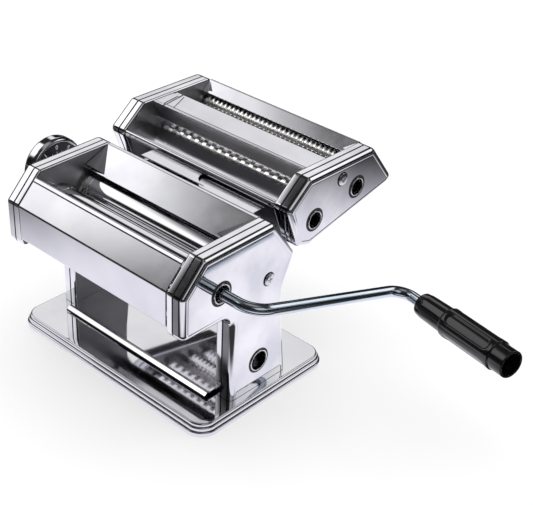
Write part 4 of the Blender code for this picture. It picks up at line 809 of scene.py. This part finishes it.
# %% Flat pieces of the head
TAB = [(-64.9, 57.6), (-58.1, 57.4), (-66.8, 77.0), (-68.5, 77.0)]
FLAP = [(-77.1, 56.0), (-68.6, 55.6), (-71.4, 75.0), (-77.1, 75.0)]
for name, outline, thickness in (("roof_tab", TAB, 0.35), ("roof_flap", FLAP, 0.4)):
    low = ROOF_TOP + 0.1
    strip = plate(name, outline, low, low + thickness, SHEET_CHROME)
    hand_over(polish(soften(strip, 0.12, 2)), "cutter_head", "chrome_sheet")
TONGUE = [(-45.0, 11.4), (22.0, 11.4), (15.0, 13.6), (10.5, 17.0), (8.4, 21.0), (8.0, 24.3),
          (-45.0, 24.3)]
SHELF = [(2.0, 11.4), (70.0, 11.4), (70.0, 24.3), (2.0, 24.3)]
shelf = plate("docking_shelf", SHELF, 139.2, 140.0, SHEET_CHROME)
hand_over(polish(shelf), "stand", "chrome_sheet")
tongue = plate("docking_tongue", TONGUE, 141.4, 142.2, SHEET_CHROME)
hand_over(polish(soften(tongue, 0.3, 2)), "cutter_head", "chrome_sheet")
for label, side in (("left", -1), ("right", 1)):
    corner_guide("fine_guide_" + label, side, (117.0, 162.4), (109.6, 156.3), (109.0, 156.0), 9.0,
                 SHEET_CHROME, "cutter_head")

# %% [markdown]
# ## Docking rails
# The head rests on two rails behind the hopper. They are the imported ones, cut level a little below
# the hopper's crest, so that nothing stands over it.

# %% Docking rails
RAIL_TOP = 138.4


def trimmed_copy(name, node, height):
    """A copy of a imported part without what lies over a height, closed again by a flat face."""
    mesh = bpy.data.meshes.new(name)
    shape = bmesh.new()
    shape.from_mesh(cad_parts[node].data)
    bmesh.ops.remove_doubles(shape, verts=shape.verts, dist=0.000001)
    cut = bmesh.ops.bisect_plane(shape, geom=shape.verts[:] + shape.edges[:] + shape.faces[:],
                                 plane_co=(0, 0, height * MM), plane_no=(0, 0, 1), clear_outer=True)
    rim = [part for part in cut["geom_cut"] if isinstance(part, bmesh.types.BMEdge)]
    bmesh.ops.contextual_create(shape, geom=rim)
    bmesh.ops.recalc_face_normals(shape, faces=shape.faces)
    shape.to_mesh(mesh)
    shape.free()
    mesh.materials.clear()
    mesh.materials.append(FASTENER_STEEL)
    piece = bpy.data.objects.new(name, mesh)
    bpy.context.scene.collection.objects.link(piece)
    return piece


for label in ("left", "right"):
    rail = trimmed_copy("rail_fine_" + label, "dock_rail_" + label, RAIL_TOP)
    hand_over(polish(rail), "stand", "fastener_steel", "dock_rail_" + label)

# %% [markdown]
# ## Cutting rollers
# A cutting roller is a shaft with square lands at an even pitch. The lands of one run in the grooves
# of the other, and the dough is sheared between their edges. One land is drawn once, and Geometry
# Nodes place it along the shaft from a pitch, a count and the place of the first.

# %% Helpers for node trees
def geometry_tree(name, inputs):
    """A geometry node tree with a Geometry input and output and named inputs with their defaults."""
    tree = bpy.data.node_groups.new(name, "GeometryNodeTree")
    tree.interface.new_socket("Geometry", in_out="INPUT", socket_type="NodeSocketGeometry")
    for label, kind, value in inputs:
        socket = tree.interface.new_socket(label, in_out="INPUT", socket_type=kind)
        if value is not None:
            socket.default_value = value
    tree.interface.new_socket("Geometry", in_out="OUTPUT", socket_type="NodeSocketGeometry")
    return tree, tree.nodes.new("NodeGroupInput"), tree.nodes.new("NodeGroupOutput")


def run_tree(piece, tree, **values):
    """Give a piece a node tree, set its named inputs and settle the result."""
    nodes = piece.modifiers.new(tree.name, "NODES")
    nodes.node_group = tree
    for item in tree.interface.items_tree:
        if item.in_out == "INPUT" and item.name in values:
            nodes[item.identifier] = values[item.name]
    return settle(piece)

# %% Node tree that sets lands along a shaft
def make_land_tree():
    """Repeat one land along X at an even pitch, and join the shaft to the lands."""
    tree, given, result = geometry_tree(
        "lands along a shaft",
        [("Land", "NodeSocketObject", None), ("Count", "NodeSocketInt", 10),
         ("Pitch", "NodeSocketFloat", 0.008), ("First", "NodeSocketVector", (0.0, 0.0, 0.0)),
         ("Material", "NodeSocketMaterial", None)])
    step = add_node(tree, "ShaderNodeCombineXYZ")
    line = add_node(tree, "GeometryNodeMeshLine")
    line.mode = "OFFSET"
    source = add_node(tree, "GeometryNodeObjectInfo")
    place = add_node(tree, "GeometryNodeInstanceOnPoints")
    real = add_node(tree, "GeometryNodeRealizeInstances")
    both = add_node(tree, "GeometryNodeJoinGeometry")
    paint = add_node(tree, "GeometryNodeSetMaterial")
    wire(tree,
         (given.outputs["Pitch"], step.inputs["X"]),
         (given.outputs["Count"], line.inputs["Count"]),
         (given.outputs["First"], line.inputs["Start Location"]),
         (step.outputs["Vector"], line.inputs["Offset"]),
         (given.outputs["Land"], source.inputs["Object"]),
         (line.outputs["Mesh"], place.inputs["Points"]),
         (source.outputs["Geometry"], place.inputs["Instance"]),
         (place.outputs["Instances"], real.inputs["Geometry"]),
         (real.outputs["Geometry"], both.inputs["Geometry"]),
         (given.outputs["Geometry"], both.inputs["Geometry"]),
         (both.outputs["Geometry"], paint.inputs["Geometry"]),
         (given.outputs["Material"], paint.inputs["Material"]),
         (paint.outputs["Geometry"], result.inputs["Geometry"]))
    return tree

LAND_TREE = make_land_tree()
print("tree:", LAND_TREE.name, len(LAND_TREE.nodes), "nodes")

# %% Cutting rollers
LAND_R, CORE_R, LAND_REACH, CORE_END = 10.2, 7.2, 74.6, 75.5
LAND_GAP, LAND_CHAMFER = 0.25, (0.18, 0.25)
JOURNAL_R, DRIVEN_R = 4.6, 5.9
WIDE_PITCH, FINE_PITCH = 8.2, 4.5


def land_centres(pitch, shift, half):
    """Places of the lands that fit whole on the shaft."""
    count = int(LAND_REACH / pitch) + 1
    places = [(i + shift) * pitch for i in range(-count, count + 1)]
    return [x for x in places if abs(x) + half <= LAND_REACH]


def cutting_roller(name, axis, pitch, shift, driven, body, node):
    """Shaft as a turned piece, one land, and the tree that repeats it."""
    end, neck = (88.4, DRIVEN_R) if driven else (81.0, JOURNAL_R)
    profile = [(SHAFT_LEFT, 0), (SHAFT_LEFT, JOURNAL_R - 0.4), (SHAFT_LEFT + 0.4, JOURNAL_R),
               (-CORE_END, JOURNAL_R), (-CORE_END, CORE_R), (CORE_END, CORE_R), (CORE_END, neck),
               (end - 0.4, neck), (end, neck - 0.4), (end, 0)]
    shaft = turned(name, profile, axis, CUTTER_STEEL, 64)
    if driven:
        drill(shaft, [socket_tool(axis)])
    half = (pitch / 2 - LAND_GAP) / 2
    across, down = LAND_CHAMFER
    section = [(-half, CORE_R - 0.1), (-half, LAND_R - down), (-half + across, LAND_R),
               (half - across, LAND_R), (half, LAND_R - down), (half, CORE_R - 0.1)]
    land = turned("land", section, (0.0, 0.0), LAND_STEEL, 48, ring=True)
    centres = land_centres(pitch, shift, half)
    run_tree(shaft, LAND_TREE, Land=land, Count=len(centres), Pitch=pitch * MM,
             First=(centres[0] * MM, axis[0] * MM, axis[1] * MM), Material=LAND_STEEL)
    bpy.data.objects.remove(land)
    hand_over(polish(shaft), body, "cutter_steel", node)


ROLLERS = [
    ("wide_cutter_fine_front", WIDE_AXIS, WIDE_PITCH, 0.0, True, "wide_front", "wide_cutter_front"),
    ("wide_cutter_fine_rear", WIDE_REAR, WIDE_PITCH, 0.5, False, "wide_rear", "wide_cutter_rear"),
    ("narrow_cutter_front", FINE_AXIS, FINE_PITCH, 0.0, True, "fine_front", "fine_cutter_front"),
    ("narrow_cutter_rear", FINE_REAR, FINE_PITCH, 0.5, False, "fine_rear", "fine_cutter_rear"),
]
for roller in ROLLERS:
    cutting_roller(*roller)

# %% [markdown]
# ## Thickness knob
# The knob is spun from one plated shell. Its black dial faces the machine and is read from above.
# The dial's strokes are one small bar repeated round the axis by Geometry Nodes. Its plain numbers
# are text, made a mesh before it is turned into place, because the export needs meshes.

# %% Knob
KNOB_INSIDE = [(-132.4, 0), (-132.4, 7.0), (-102.0, 7.0)]
KNOB_BACK = [(-102.0, 3.3), (-102.6, 3.3), (-102.6, 7.6), (-103.2, 8.4), (-121.6, 8.4), (-121.6, 22.6)]
KNOB_RIM = bent_path([(-121.6, 22.6, 0), (-119.5, 22.6, 0.5), (-119.9, 24.5, 1.6), (-122.6, 25.5, 2.5),
                      (-129.2, 25.5, 3.0), (-132.6, 22.6, 3.0), (-134.4, 14.0, 12.0), (-134.4, 4.0, 0)], 6)
knob_profile = KNOB_INSIDE + KNOB_BACK + KNOB_RIM[1:-1] + [(-134.4, 0)]
knob = turned("knob", knob_profile, REAR_AXIS, SIDE_CHROME, 128)
hand_over(polish(knob), "knob", "knob_chrome", "knob_shell")
DIAL_X = -119.9
DIAL_PROFILE = [(-121.3, 8.7), (-121.3, 22.3), (-120.2, 22.3), (DIAL_X, 22.0), (DIAL_X, 9.0),
                (-120.2, 8.7)]
dial = turned("dial", DIAL_PROFILE, REAR_AXIS, DIAL_BLACK, 128, ring=True)
hand_over(polish(dial), "knob", "black_plastic", "knob_dial")

# %% Strokes round the dial
def make_ring_tree():
    """Repeat one stroke round a circle that faces along X; the input geometry is left out."""
    tree, given, result = geometry_tree(
        "strokes round a dial",
        [("Stroke", "NodeSocketObject", None), ("Count", "NodeSocketInt", 10),
         ("Radius", "NodeSocketFloat", 0.02), ("Centre", "NodeSocketVector", (0.0, 0.0, 0.0)),
         ("Material", "NodeSocketMaterial", None)])
    circle = add_node(tree, "GeometryNodeMeshCircle")
    index = add_node(tree, "GeometryNodeInputIndex")
    share = math_node(tree, "DIVIDE", index.outputs["Index"], given.outputs["Count"])
    angle = math_node(tree, "MULTIPLY", share, 2 * math.pi)
    turn = add_node(tree, "ShaderNodeCombineXYZ")
    source = add_node(tree, "GeometryNodeObjectInfo")
    place = add_node(tree, "GeometryNodeInstanceOnPoints")
    real = add_node(tree, "GeometryNodeRealizeInstances")
    move = add_node(tree, "GeometryNodeTransform", Rotation=(math.pi / 2, 0.0, math.pi / 2))
    paint = add_node(tree, "GeometryNodeSetMaterial")
    wire(tree,
         (given.outputs["Count"], circle.inputs["Vertices"]),
         (given.outputs["Radius"], circle.inputs["Radius"]),
         (angle, turn.inputs["Z"]),
         (given.outputs["Stroke"], source.inputs["Object"]),
         (circle.outputs["Mesh"], place.inputs["Points"]),
         (source.outputs["Geometry"], place.inputs["Instance"]),
         (turn.outputs["Vector"], place.inputs["Rotation"]),
         (place.outputs["Instances"], real.inputs["Geometry"]),
         (real.outputs["Geometry"], move.inputs["Geometry"]),
         (given.outputs["Centre"], move.inputs["Translation"]),
         (move.outputs["Geometry"], paint.inputs["Geometry"]),
         (given.outputs["Material"], paint.inputs["Material"]),
         (paint.outputs["Geometry"], result.inputs["Geometry"]))
    return tree

RING_TREE = make_ring_tree()
STROKE_COUNT, STROKE_RING_R, MARK_HALF_DEPTH = 20, 14.2, 0.05
MARK_CENTRE = Vector((DIAL_X + 0.03, *REAR_AXIS)) * MM
bar = plate("stroke", rectangle((0.0, 0.0), 1.0, 0.24), -MARK_HALF_DEPTH, MARK_HALF_DEPTH, DIAL_WHITE)
strokes = new_piece("dial_strokes", [(0, 0, 0), (0, 0, 0.1), (0, 0.1, 0)], [(0, 1, 2)], DIAL_WHITE)
run_tree(strokes, RING_TREE, Stroke=bar, Count=STROKE_COUNT, Radius=STROKE_RING_R * MM,
         Centre=tuple(MARK_CENTRE), Material=DIAL_WHITE)
bpy.data.objects.remove(bar)
hand_over(strokes, "knob", "black_plastic")

# %% Numbers on the dial
NUMBER_COUNT, NUMBER_RING_R, NUMBER_SIZE, NUMBER_WEIGHT = 10, 18.7, 5.0, 0.14


def number(value, angle):
    """A generic number, read from the machine's side, as a thin closed mesh on the dial."""
    text = bpy.data.curves.new("number", "FONT")
    text.body = str(value)
    text.align_x, text.align_y = "CENTER", "CENTER"
    text.size = NUMBER_SIZE * MM
    text.extrude = MARK_HALF_DEPTH * MM
    text.offset = NUMBER_WEIGHT * MM
    text.resolution_u = 3
    holder = bpy.data.objects.new("number", text)
    bpy.context.scene.collection.objects.link(holder)
    settled = bpy.data.meshes.new_from_object(holder)
    bpy.data.objects.remove(holder)
    upright = Matrix.Rotation(math.radians(90), 4, "Z") @ Matrix.Rotation(math.radians(90), 4, "X")
    around = Matrix.Rotation(math.radians(angle), 4, "X")
    outwards = Matrix.Translation((0, 0, NUMBER_RING_R * MM))
    settled.transform(Matrix.Translation(MARK_CENTRE) @ around @ outwards @ upright)
    return settled


numbers = bmesh.new()
for i in range(NUMBER_COUNT):
    numbers.from_mesh(number(i, 360.0 / NUMBER_COUNT * i))
bmesh.ops.remove_doubles(numbers, verts=numbers.verts, dist=0.000001)
bmesh.ops.recalc_face_normals(numbers, faces=numbers.faces)
number_mesh = bpy.data.meshes.new("dial_numbers")
numbers.to_mesh(number_mesh)
numbers.free()
number_mesh.materials.append(DIAL_WHITE)
dial_numbers = bpy.data.objects.new("dial_numbers", number_mesh)
bpy.context.scene.collection.objects.link(dial_numbers)
hand_over(dial_numbers, "knob", "black_plastic")

# %% [markdown]
# ## Crank and grip
# The crank is one round bar bent twice, with a squared tip that drops into a roller's socket. Its
# path lies in one plane, so it is drawn there as a bent line and rings of points are set across it.
# The grip is a moulded sleeve that turns freely on the bar. Four long panels with round ends are
# pressed into its middle, and a rule gives their depth at any point, so the sleeve's rings follow it.

# %% Crank
ALONG = Vector((1, 0, 0))
AWAY = Vector((0, 0.98163, -0.19081))
NORMAL = Vector((0, 0.19081, 0.98163))
CRANK_START = Vector((0, *FRONT_AXIS))
ROD_R, ROD_SIDES = 4.25, 40
TIP_HALF, TIP_SPAN = 3.3, (68.6, 94.0)
GRIP_AT, GRIP_DIRECTION = Vector((175.49, 75.826, 85.597)), Vector((0.97155, -0.23249, 0.04519))
ROD_IN_GRIP = 78.5


def in_plane(point):
    """(along the axis, away from it) of a point of the crank's plane."""
    step = Vector(point) - CRANK_START
    return step.dot(ALONG), step.dot(AWAY)


rod_end = in_plane(GRIP_AT + GRIP_DIRECTION * ROD_IN_GRIP)
rod_path = bent_path([(92.9, 0.0, 0), (123.2, 0.0, 24.0), (153.533, 125.383, 13.0), (*rod_end, 0)], 20)
rod_turns = [2 * math.pi * k / ROD_SIDES for k in range(ROD_SIDES)]
rings = []
for i, point in enumerate(rod_path):
    point = Vector(point)
    before = unit(rod_path[i - 1], point) if i else unit(point, rod_path[i + 1])
    after = unit(point, rod_path[i + 1]) if i < len(rod_path) - 1 else before
    heading = (before + after).normalized()
    across = ALONG * -heading.y + AWAY * heading.x
    centre = CRANK_START + ALONG * point.x + AWAY * point.y
    rings.append([centre + (across * math.cos(t) + NORMAL * math.sin(t)) * ROD_R for t in rod_turns])
rod = loft("crank_bar", rings, ROD_STEEL)
hand_over(polish(rod), "crank", "rod_steel", "crank_rod")
tip = prism("crank_tip", rectangle(FRONT_AXIS, TIP_HALF, TIP_HALF), *TIP_SPAN, ROD_STEEL)
hand_over(polish(soften(tip, 0.5)), "crank", "rod_steel")

# %% Pressed panels of the grip
PANEL_LOW, PANEL_HIGH, PANEL_COUNT = 32.0, 73.0, 4
PANEL_ANGLE, PANEL_HALF, PANEL_CORNER = 48.0, 4.2, 3.8
PANEL_DEPTH, PANEL_SLOPE = 0.85, 1.3
GRIP_R = 11.0


def panel_depth(x, angle):
    """Depth of the hollow panels: a rectangle with round ends, repeated round the grip."""
    pitch = 2 * math.pi / PANEL_COUNT
    off = (angle - math.radians(PANEL_ANGLE) + pitch / 2) % pitch - pitch / 2
    middle, half = (PANEL_LOW + PANEL_HIGH) / 2, (PANEL_HIGH - PANEL_LOW) / 2
    dx = abs(x - middle) - (half - PANEL_CORNER)
    da = abs(off) * GRIP_R - (PANEL_HALF - PANEL_CORNER)
    edge = math.hypot(max(dx, 0.0), max(da, 0.0)) + min(max(dx, da), 0.0) - PANEL_CORNER
    share = max(0.0, min(1.0, 0.5 - edge / PANEL_SLOPE))
    return PANEL_DEPTH * share * share * (3 - 2 * share)


print("deepest press:", panel_depth((PANEL_LOW + PANEL_HIGH) / 2, math.radians(PANEL_ANGLE)), "mm")

# %% Grip
GRIP_ACROSS = NORMAL.cross(GRIP_DIRECTION)
GRIP_SIDES, GRIP_BORE_R, GRIP_STEP = 192, 4.55, 0.75


def grip_ring(x, radius, panelled):
    """Ring of the sleeve at x, with its panels pressed in where it has them."""
    ring = []
    for i in range(GRIP_SIDES):
        angle = 2 * math.pi * i / GRIP_SIDES
        r = radius - (panel_depth(x, angle) if panelled else 0.0)
        outwards = GRIP_ACROSS * math.cos(angle) + NORMAL * math.sin(angle)
        ring.append(GRIP_AT + GRIP_DIRECTION * x + outwards * r)
    return ring


neck = bent_path([(0.0, 5.0, 0), (0.0, 8.4, 2.4), (6.0, 9.2, 30.0), (25.6, 9.7, 0.8), (27.2, 9.7, 0.6),
                  (29.0, GRIP_R, 0.9), (31.0, GRIP_R, 0)], 5)
middle = [(31.0 + GRIP_STEP * i, GRIP_R) for i in range(1, 58)]
collar = bent_path([(74.6, GRIP_R, 0), (76.3, GRIP_R, 0.7), (76.9, 10.0, 0.4), (88.9, 10.0, 0.7),
                    (88.9, 8.3, 0.5), (77.0, 8.0, 0.6), (77.0, GRIP_BORE_R, 0)], 5)
stations = [(x, r, False) for x, r in neck] + [(x, r, True) for x, r in middle]
stations += [(x, r, False) for x, r in collar] + [(0.0, GRIP_BORE_R, False)]
sleeve = loft("grip_sleeve", [grip_ring(*station) for station in stations], BLACK_PLASTIC, closed=True)
hand_over(polish(sleeve, 50.0), "grip", "black_plastic", "crank_grip")

# %% [markdown]
# ## Screws
# Cross head screws hold each cover to its pan. The head is turned with a domed face, and a cross of
# two straight slots is cut out of it. A near black ring of painted shade lies in the recess round the head.

# %% Cross head screws
SHANK_IN, SHANK_R, HEAD_R = 77.9, 1.9, 4.7
HEAD_LOW, HEAD_TOP = 93.7, 94.75
SLOT_LONG, SLOT_NARROW, SLOT_SPAN = 2.4, 0.42, (94.0, 96.0)


def cross_screw(name, side, place, body, node):
    """A screw with a domed head and crossed slots, and the ring of painted shade round it."""
    dome = bent_path([(SHANK_IN, SHANK_R, 0), (HEAD_LOW, SHANK_R, 0), (HEAD_LOW, HEAD_R, 0.2),
                      (94.3, HEAD_R, 0.5), (HEAD_TOP, 2.6, 2.0), (HEAD_TOP, 0.3, 0)], 4)
    profile = [(side * x, radius) for x, radius in [(SHANK_IN, 0)] + dome + [(HEAD_TOP, 0)]]
    screw = turned(name, profile, place, FASTENER_STEEL, 48)
    slots = [side_tool(side, rectangle(place, half_y, half_z), *SLOT_SPAN)
             for half_y, half_z in ((SLOT_LONG, SLOT_NARROW), (SLOT_NARROW, SLOT_LONG))]
    hand_over(polish(drill(screw, slots)), body, "fastener_steel", node)
    dark_ring(name + "_ring", place, 4.0, RECESS_R - 0.1, side, body, 0.55)


for label, side in (("left", -1), ("right", 1)):
    cross_screw("cover_screw_" + label, side, SIDE_SCREWS[side], "stand", "side_screw_" + label)
for label, side in (("left", -1), ("right", 1)):
    cross_screw("head_screw_" + label, side, HEAD_SCREW, "cutter_head", "cutter_screw_" + label)

# %% [markdown]
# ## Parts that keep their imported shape
# Gears, bushes, scrapers and the parts inside the covers are right as packed. Each gets the finish
# of what it is made of, by the name of its packed material.

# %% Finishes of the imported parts
FINISH_OF_SLOT = {
    "chrome_sheet": SHEET_CHROME, "roller_steel": DRUM_CHROME, "cutter_steel": CUTTER_STEEL,
    "rod_steel": ROD_STEEL, "fastener_steel": FASTENER_STEEL, "gear_steel": GEAR_STEEL,
    "knob_chrome": SIDE_CHROME, "bearing_plastic": NYLON, "black_plastic": BLACK_PLASTIC,
    "underside_plastic": UNDERSIDE,
}
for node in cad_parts.values():
    if not node.hide_render:
        names = [m.name.split(".")[0] if m else "none" for m in node.data.materials]
        print("kept:", node.name, names)
        found = [FINISH_OF_SLOT[n] for n in names if n in FINISH_OF_SLOT]
        node.data.materials.clear()
        node.data.materials.append(found[0] if found else FASTENER_STEEL)

# %% [markdown]
# ## Floor
# The floor is wide and pale. The camera sees it as nearly white paper with a soft shadow. Polished
# metal mirrors it too, and there the floor glows with a painted pool of light round the machine and a
# painted dark band in front, in place of a dark card. The Light Path node tells the two kinds of ray apart.

# %% Floor
FLOOR_HALF, FLOOR_Z = 4.0, -0.0003
floor_corners = [(x, y, FLOOR_Z) for x, y in rectangle((0.0, 0.0), FLOOR_HALF, FLOOR_HALF)]
floor_mesh = bpy.data.meshes.new("floor")
floor_mesh.from_pydata(floor_corners, [], [(0, 1, 2, 3)])
floor = bpy.data.objects.new("floor", floor_mesh)
bpy.context.scene.collection.objects.link(floor)
floor_paint = bpy.data.materials.new("floor")
floor_paint.use_nodes = True
paper = floor_paint.node_tree
paper_shader = paper.nodes["Principled BSDF"]
paper_shader.inputs["Base Color"].default_value = (0.88, 0.88, 0.89, 1.0)
paper_shader.inputs["Roughness"].default_value = 0.9


def floor_step(operation, vector, low, high):
    """Smooth rise over the floor, by the distance from a point or along a direction, in metres."""
    place = add_node(paper, "ShaderNodeTexCoord").outputs["Object"]
    measure = math_node(paper, operation, place, vector, kind="ShaderNodeVectorMath")
    return smooth_step(paper, measure, low, high)


# Painted light and shade for reflections: a pool of light round the machine and a dark band in front of it.
POOL_CENTRE, POOL_INNER, POOL_OUTER = (0.04, 0.02, 0.0), 0.24, 0.44
DARK_BAND_TOWARDS = (0.73, -0.68, 0.0)
DARK_BAND_NEAR, DARK_BAND_FAR, DARK_BAND_END, DARK_BAND_OPEN = 0.118, 0.155, 0.20, 0.26
POOL_LEVEL, DARK_BAND_LEVEL, POOL_TINT = 1.18, 0.05, (0.99, 0.98, 1.05, 1.0)
pool = floor_step("DISTANCE", POOL_CENTRE, POOL_OUTER, POOL_INNER)
before_dark_band = floor_step("DOT_PRODUCT", DARK_BAND_TOWARDS, DARK_BAND_FAR, DARK_BAND_NEAR)
behind_dark_band = floor_step("DOT_PRODUCT", DARK_BAND_TOWARDS, DARK_BAND_END, DARK_BAND_OPEN)
bare = math_node(paper, "MAXIMUM", before_dark_band, behind_dark_band)
lit = math_node(paper, "MULTIPLY", math_node(paper, "MULTIPLY", pool, bare), POOL_LEVEL)
mirrored = math_node(paper, "ADD", lit, DARK_BAND_LEVEL)
print("pool reaches", POOL_OUTER, "m and the painted dark band starts at", DARK_BAND_NEAR, "m")

# %% What the camera and the metal see of the floor
SHADOW_SHARE = 0.38
tint = add_node(paper, "ShaderNodeMix")
tint.data_type = "RGBA"
tint.clamp_factor = False
tint.inputs["A"].default_value = (0.0, 0.0, 0.0, 1.0)
tint.inputs["B"].default_value = POOL_TINT
# The metal sees the floor glow with this painted pool and dark band, a painted reflection.
glow = add_node(paper, "ShaderNodeEmission")
white = add_node(paper, "ShaderNodeEmission", Color=(1.0, 1.0, 1.0, 1.0))
rays = add_node(paper, "ShaderNodeLightPath")
seen = math_node(paper, "MULTIPLY", rays.outputs["Is Camera Ray"], 1.0 - SHADOW_SHARE)
lifted = add_node(paper, "ShaderNodeMixShader")
choice = add_node(paper, "ShaderNodeMixShader")
wire(paper,
     (seen, lifted.inputs["Fac"]),
     (paper_shader.outputs["BSDF"], lifted.inputs[1]),
     (white.outputs["Emission"], lifted.inputs[2]),
     (mirrored, tint.inputs["Factor"]),
     (tint.outputs["Result"], glow.inputs["Color"]),
     (rays.outputs["Is Glossy Ray"], choice.inputs["Fac"]),
     (lifted.outputs["Shader"], choice.inputs[1]),
     (glow.outputs["Emission"], choice.inputs[2]),
     (choice.outputs["Shader"], paper.nodes["Material Output"].inputs["Surface"]))
floor_mesh.materials.append(floor_paint)
print("floor:", len(paper.nodes), "nodes")

# %% [markdown]
# ## Surroundings
# Polished metal shows what stands around it, so each soft box is placed where a face of the machine
# mirrors it towards the camera, and two weak ones light the other sides. The rest of the sky is dim,
# with a pale spot straight above. All of it is made of math nodes on the direction of a ray, because
# a lamp that is far away has only a direction, a spread and a level.

# %% Helper for soft boxes
world = bpy.data.worlds.new("studio")
bpy.context.scene.world = world
world.use_nodes = True
sky = world.node_tree
look = add_node(sky, "ShaderNodeTexCoord").outputs["Generated"]


def soft_box(azimuth, elevation, roll, half_width, half_height, edge, level):
    """Light of a soft square lamp far away, in degrees; azimuth 0 lies along +X and 90 along +Y."""
    a, e = math.radians(azimuth), math.radians(elevation)
    ahead = Vector((math.cos(a) * math.cos(e), math.sin(a) * math.cos(e), math.sin(e)))
    level_across = Vector((-math.sin(a), math.cos(a), 0.0))
    across = Matrix.Rotation(math.radians(roll), 3, ahead) @ level_across
    upward = ahead.cross(across)
    facing = math_node(sky, "DOT_PRODUCT", look, ahead, kind="ShaderNodeVectorMath")
    depth = math_node(sky, "MAXIMUM", facing, 0.01)
    masks = []
    for direction, half in ((across, half_width), (upward, half_height)):
        reach = math.tan(math.radians(half))
        offset = math_node(sky, "DOT_PRODUCT", look, direction, kind="ShaderNodeVectorMath")
        share = math_node(sky, "ABSOLUTE", math_node(sky, "DIVIDE", offset, depth))
        masks.append(smooth_step(sky, share, reach, reach - math.tan(math.radians(edge))))
    return math_node(sky, "MULTIPLY", math_node(sky, "MULTIPLY", *masks), level)


print("world:", world.name)

# %% Sky and soft boxes
SKY_STOPS = [(-1.0, 0.9), (-0.02, 0.9), (0.0, 0.02), (0.25, 0.01), (0.45, 0.02), (0.93, 0.05),
             (0.98, 0.40), (1.0, 0.45)]
SOFT_BOXES = [(198, 33, -11, 21, 19, 7, 1.65), (66, 40, 0, 20, 15, 6, 1.5), (136, 31, 0, 13, 12, 5, 1.15),
              (228, 44, 0, 9, 5, 3, 2.0), (200, 58, 0, 22, 14, 6, 0.13), (338, 40, 11, 22, 20, 8, 0.7),
              (24, 34, -11, 20, 12, 8, 0.5)]
split = add_node(sky, "ShaderNodeSeparateXYZ")
ramp = add_node(sky, "ShaderNodeValToRGB")
wire(sky, (look, split.inputs["Vector"]))
wire(sky, (math_node(sky, "MULTIPLY_ADD", split.outputs["Z"], 0.5, 0.5), ramp.inputs["Fac"]))
for height, level in SKY_STOPS[1:-1]:
    ramp.color_ramp.elements.new((height + 1) / 2)
for element, (height, level) in zip(ramp.color_ramp.elements, SKY_STOPS):
    element.position = (height + 1) / 2
    element.color = (level, level, level, 1.0)
total = ramp.outputs["Color"]
for box in SOFT_BOXES:
    total = math_node(sky, "ADD", total, soft_box(*box))
wire(sky, (total, sky.nodes["Background"].inputs["Color"]))
print("soft boxes:", len(SOFT_BOXES))

# %% [markdown]
# ## Lamp and camera
# One wide lamp overhead lights what isn't metal and gives the soft shadow. It is hidden from mirrors.
# The camera stands where the photograph was taken: its turn and place were solved from the straight
# edges of the tray and the boxes.

# %% Lamp
SUN_LEVEL, SUN_SPREAD, SUN_TILT = 3.3, 70, (-12, -8)
sun = bpy.data.lights.new("overhead", "SUN")
sun.energy = SUN_LEVEL
sun.angle = math.radians(SUN_SPREAD)
overhead = bpy.data.objects.new("overhead", sun)
bpy.context.scene.collection.objects.link(overhead)
overhead.rotation_euler = (math.radians(SUN_TILT[0]), math.radians(SUN_TILT[1]), 0.0)
overhead.visible_glossy = False
print("lamp:", overhead.name)

# %% Camera
RIGHT = Vector((0.7323498, 0.6797461, 0.0401134))
DOWN = Vector((0.3807746, -0.3599798, -0.8517190))
FORWARD = Vector((-0.5645126, 0.6390304, -0.5224611))
CAMERA_PLACE, LENS = (0.552373, -0.519620, 0.549148), 80.415
camera_data = bpy.data.cameras.new("camera")
camera = bpy.data.objects.new("camera", camera_data)
bpy.context.scene.collection.objects.link(camera)
turn = Matrix((RIGHT, -DOWN, -FORWARD)).transposed()
camera.matrix_world = Matrix.Translation(CAMERA_PLACE) @ turn.to_4x4()
camera_data.sensor_width = 36.0
camera_data.lens = LENS
camera_data.shift_x, camera_data.shift_y = 0.0023, -0.0028
camera_data.clip_start = 0.05
bpy.context.scene.camera = camera
bpy.context.scene.view_settings.view_transform = "Standard"
print("camera:", camera.name, LENS, "mm")
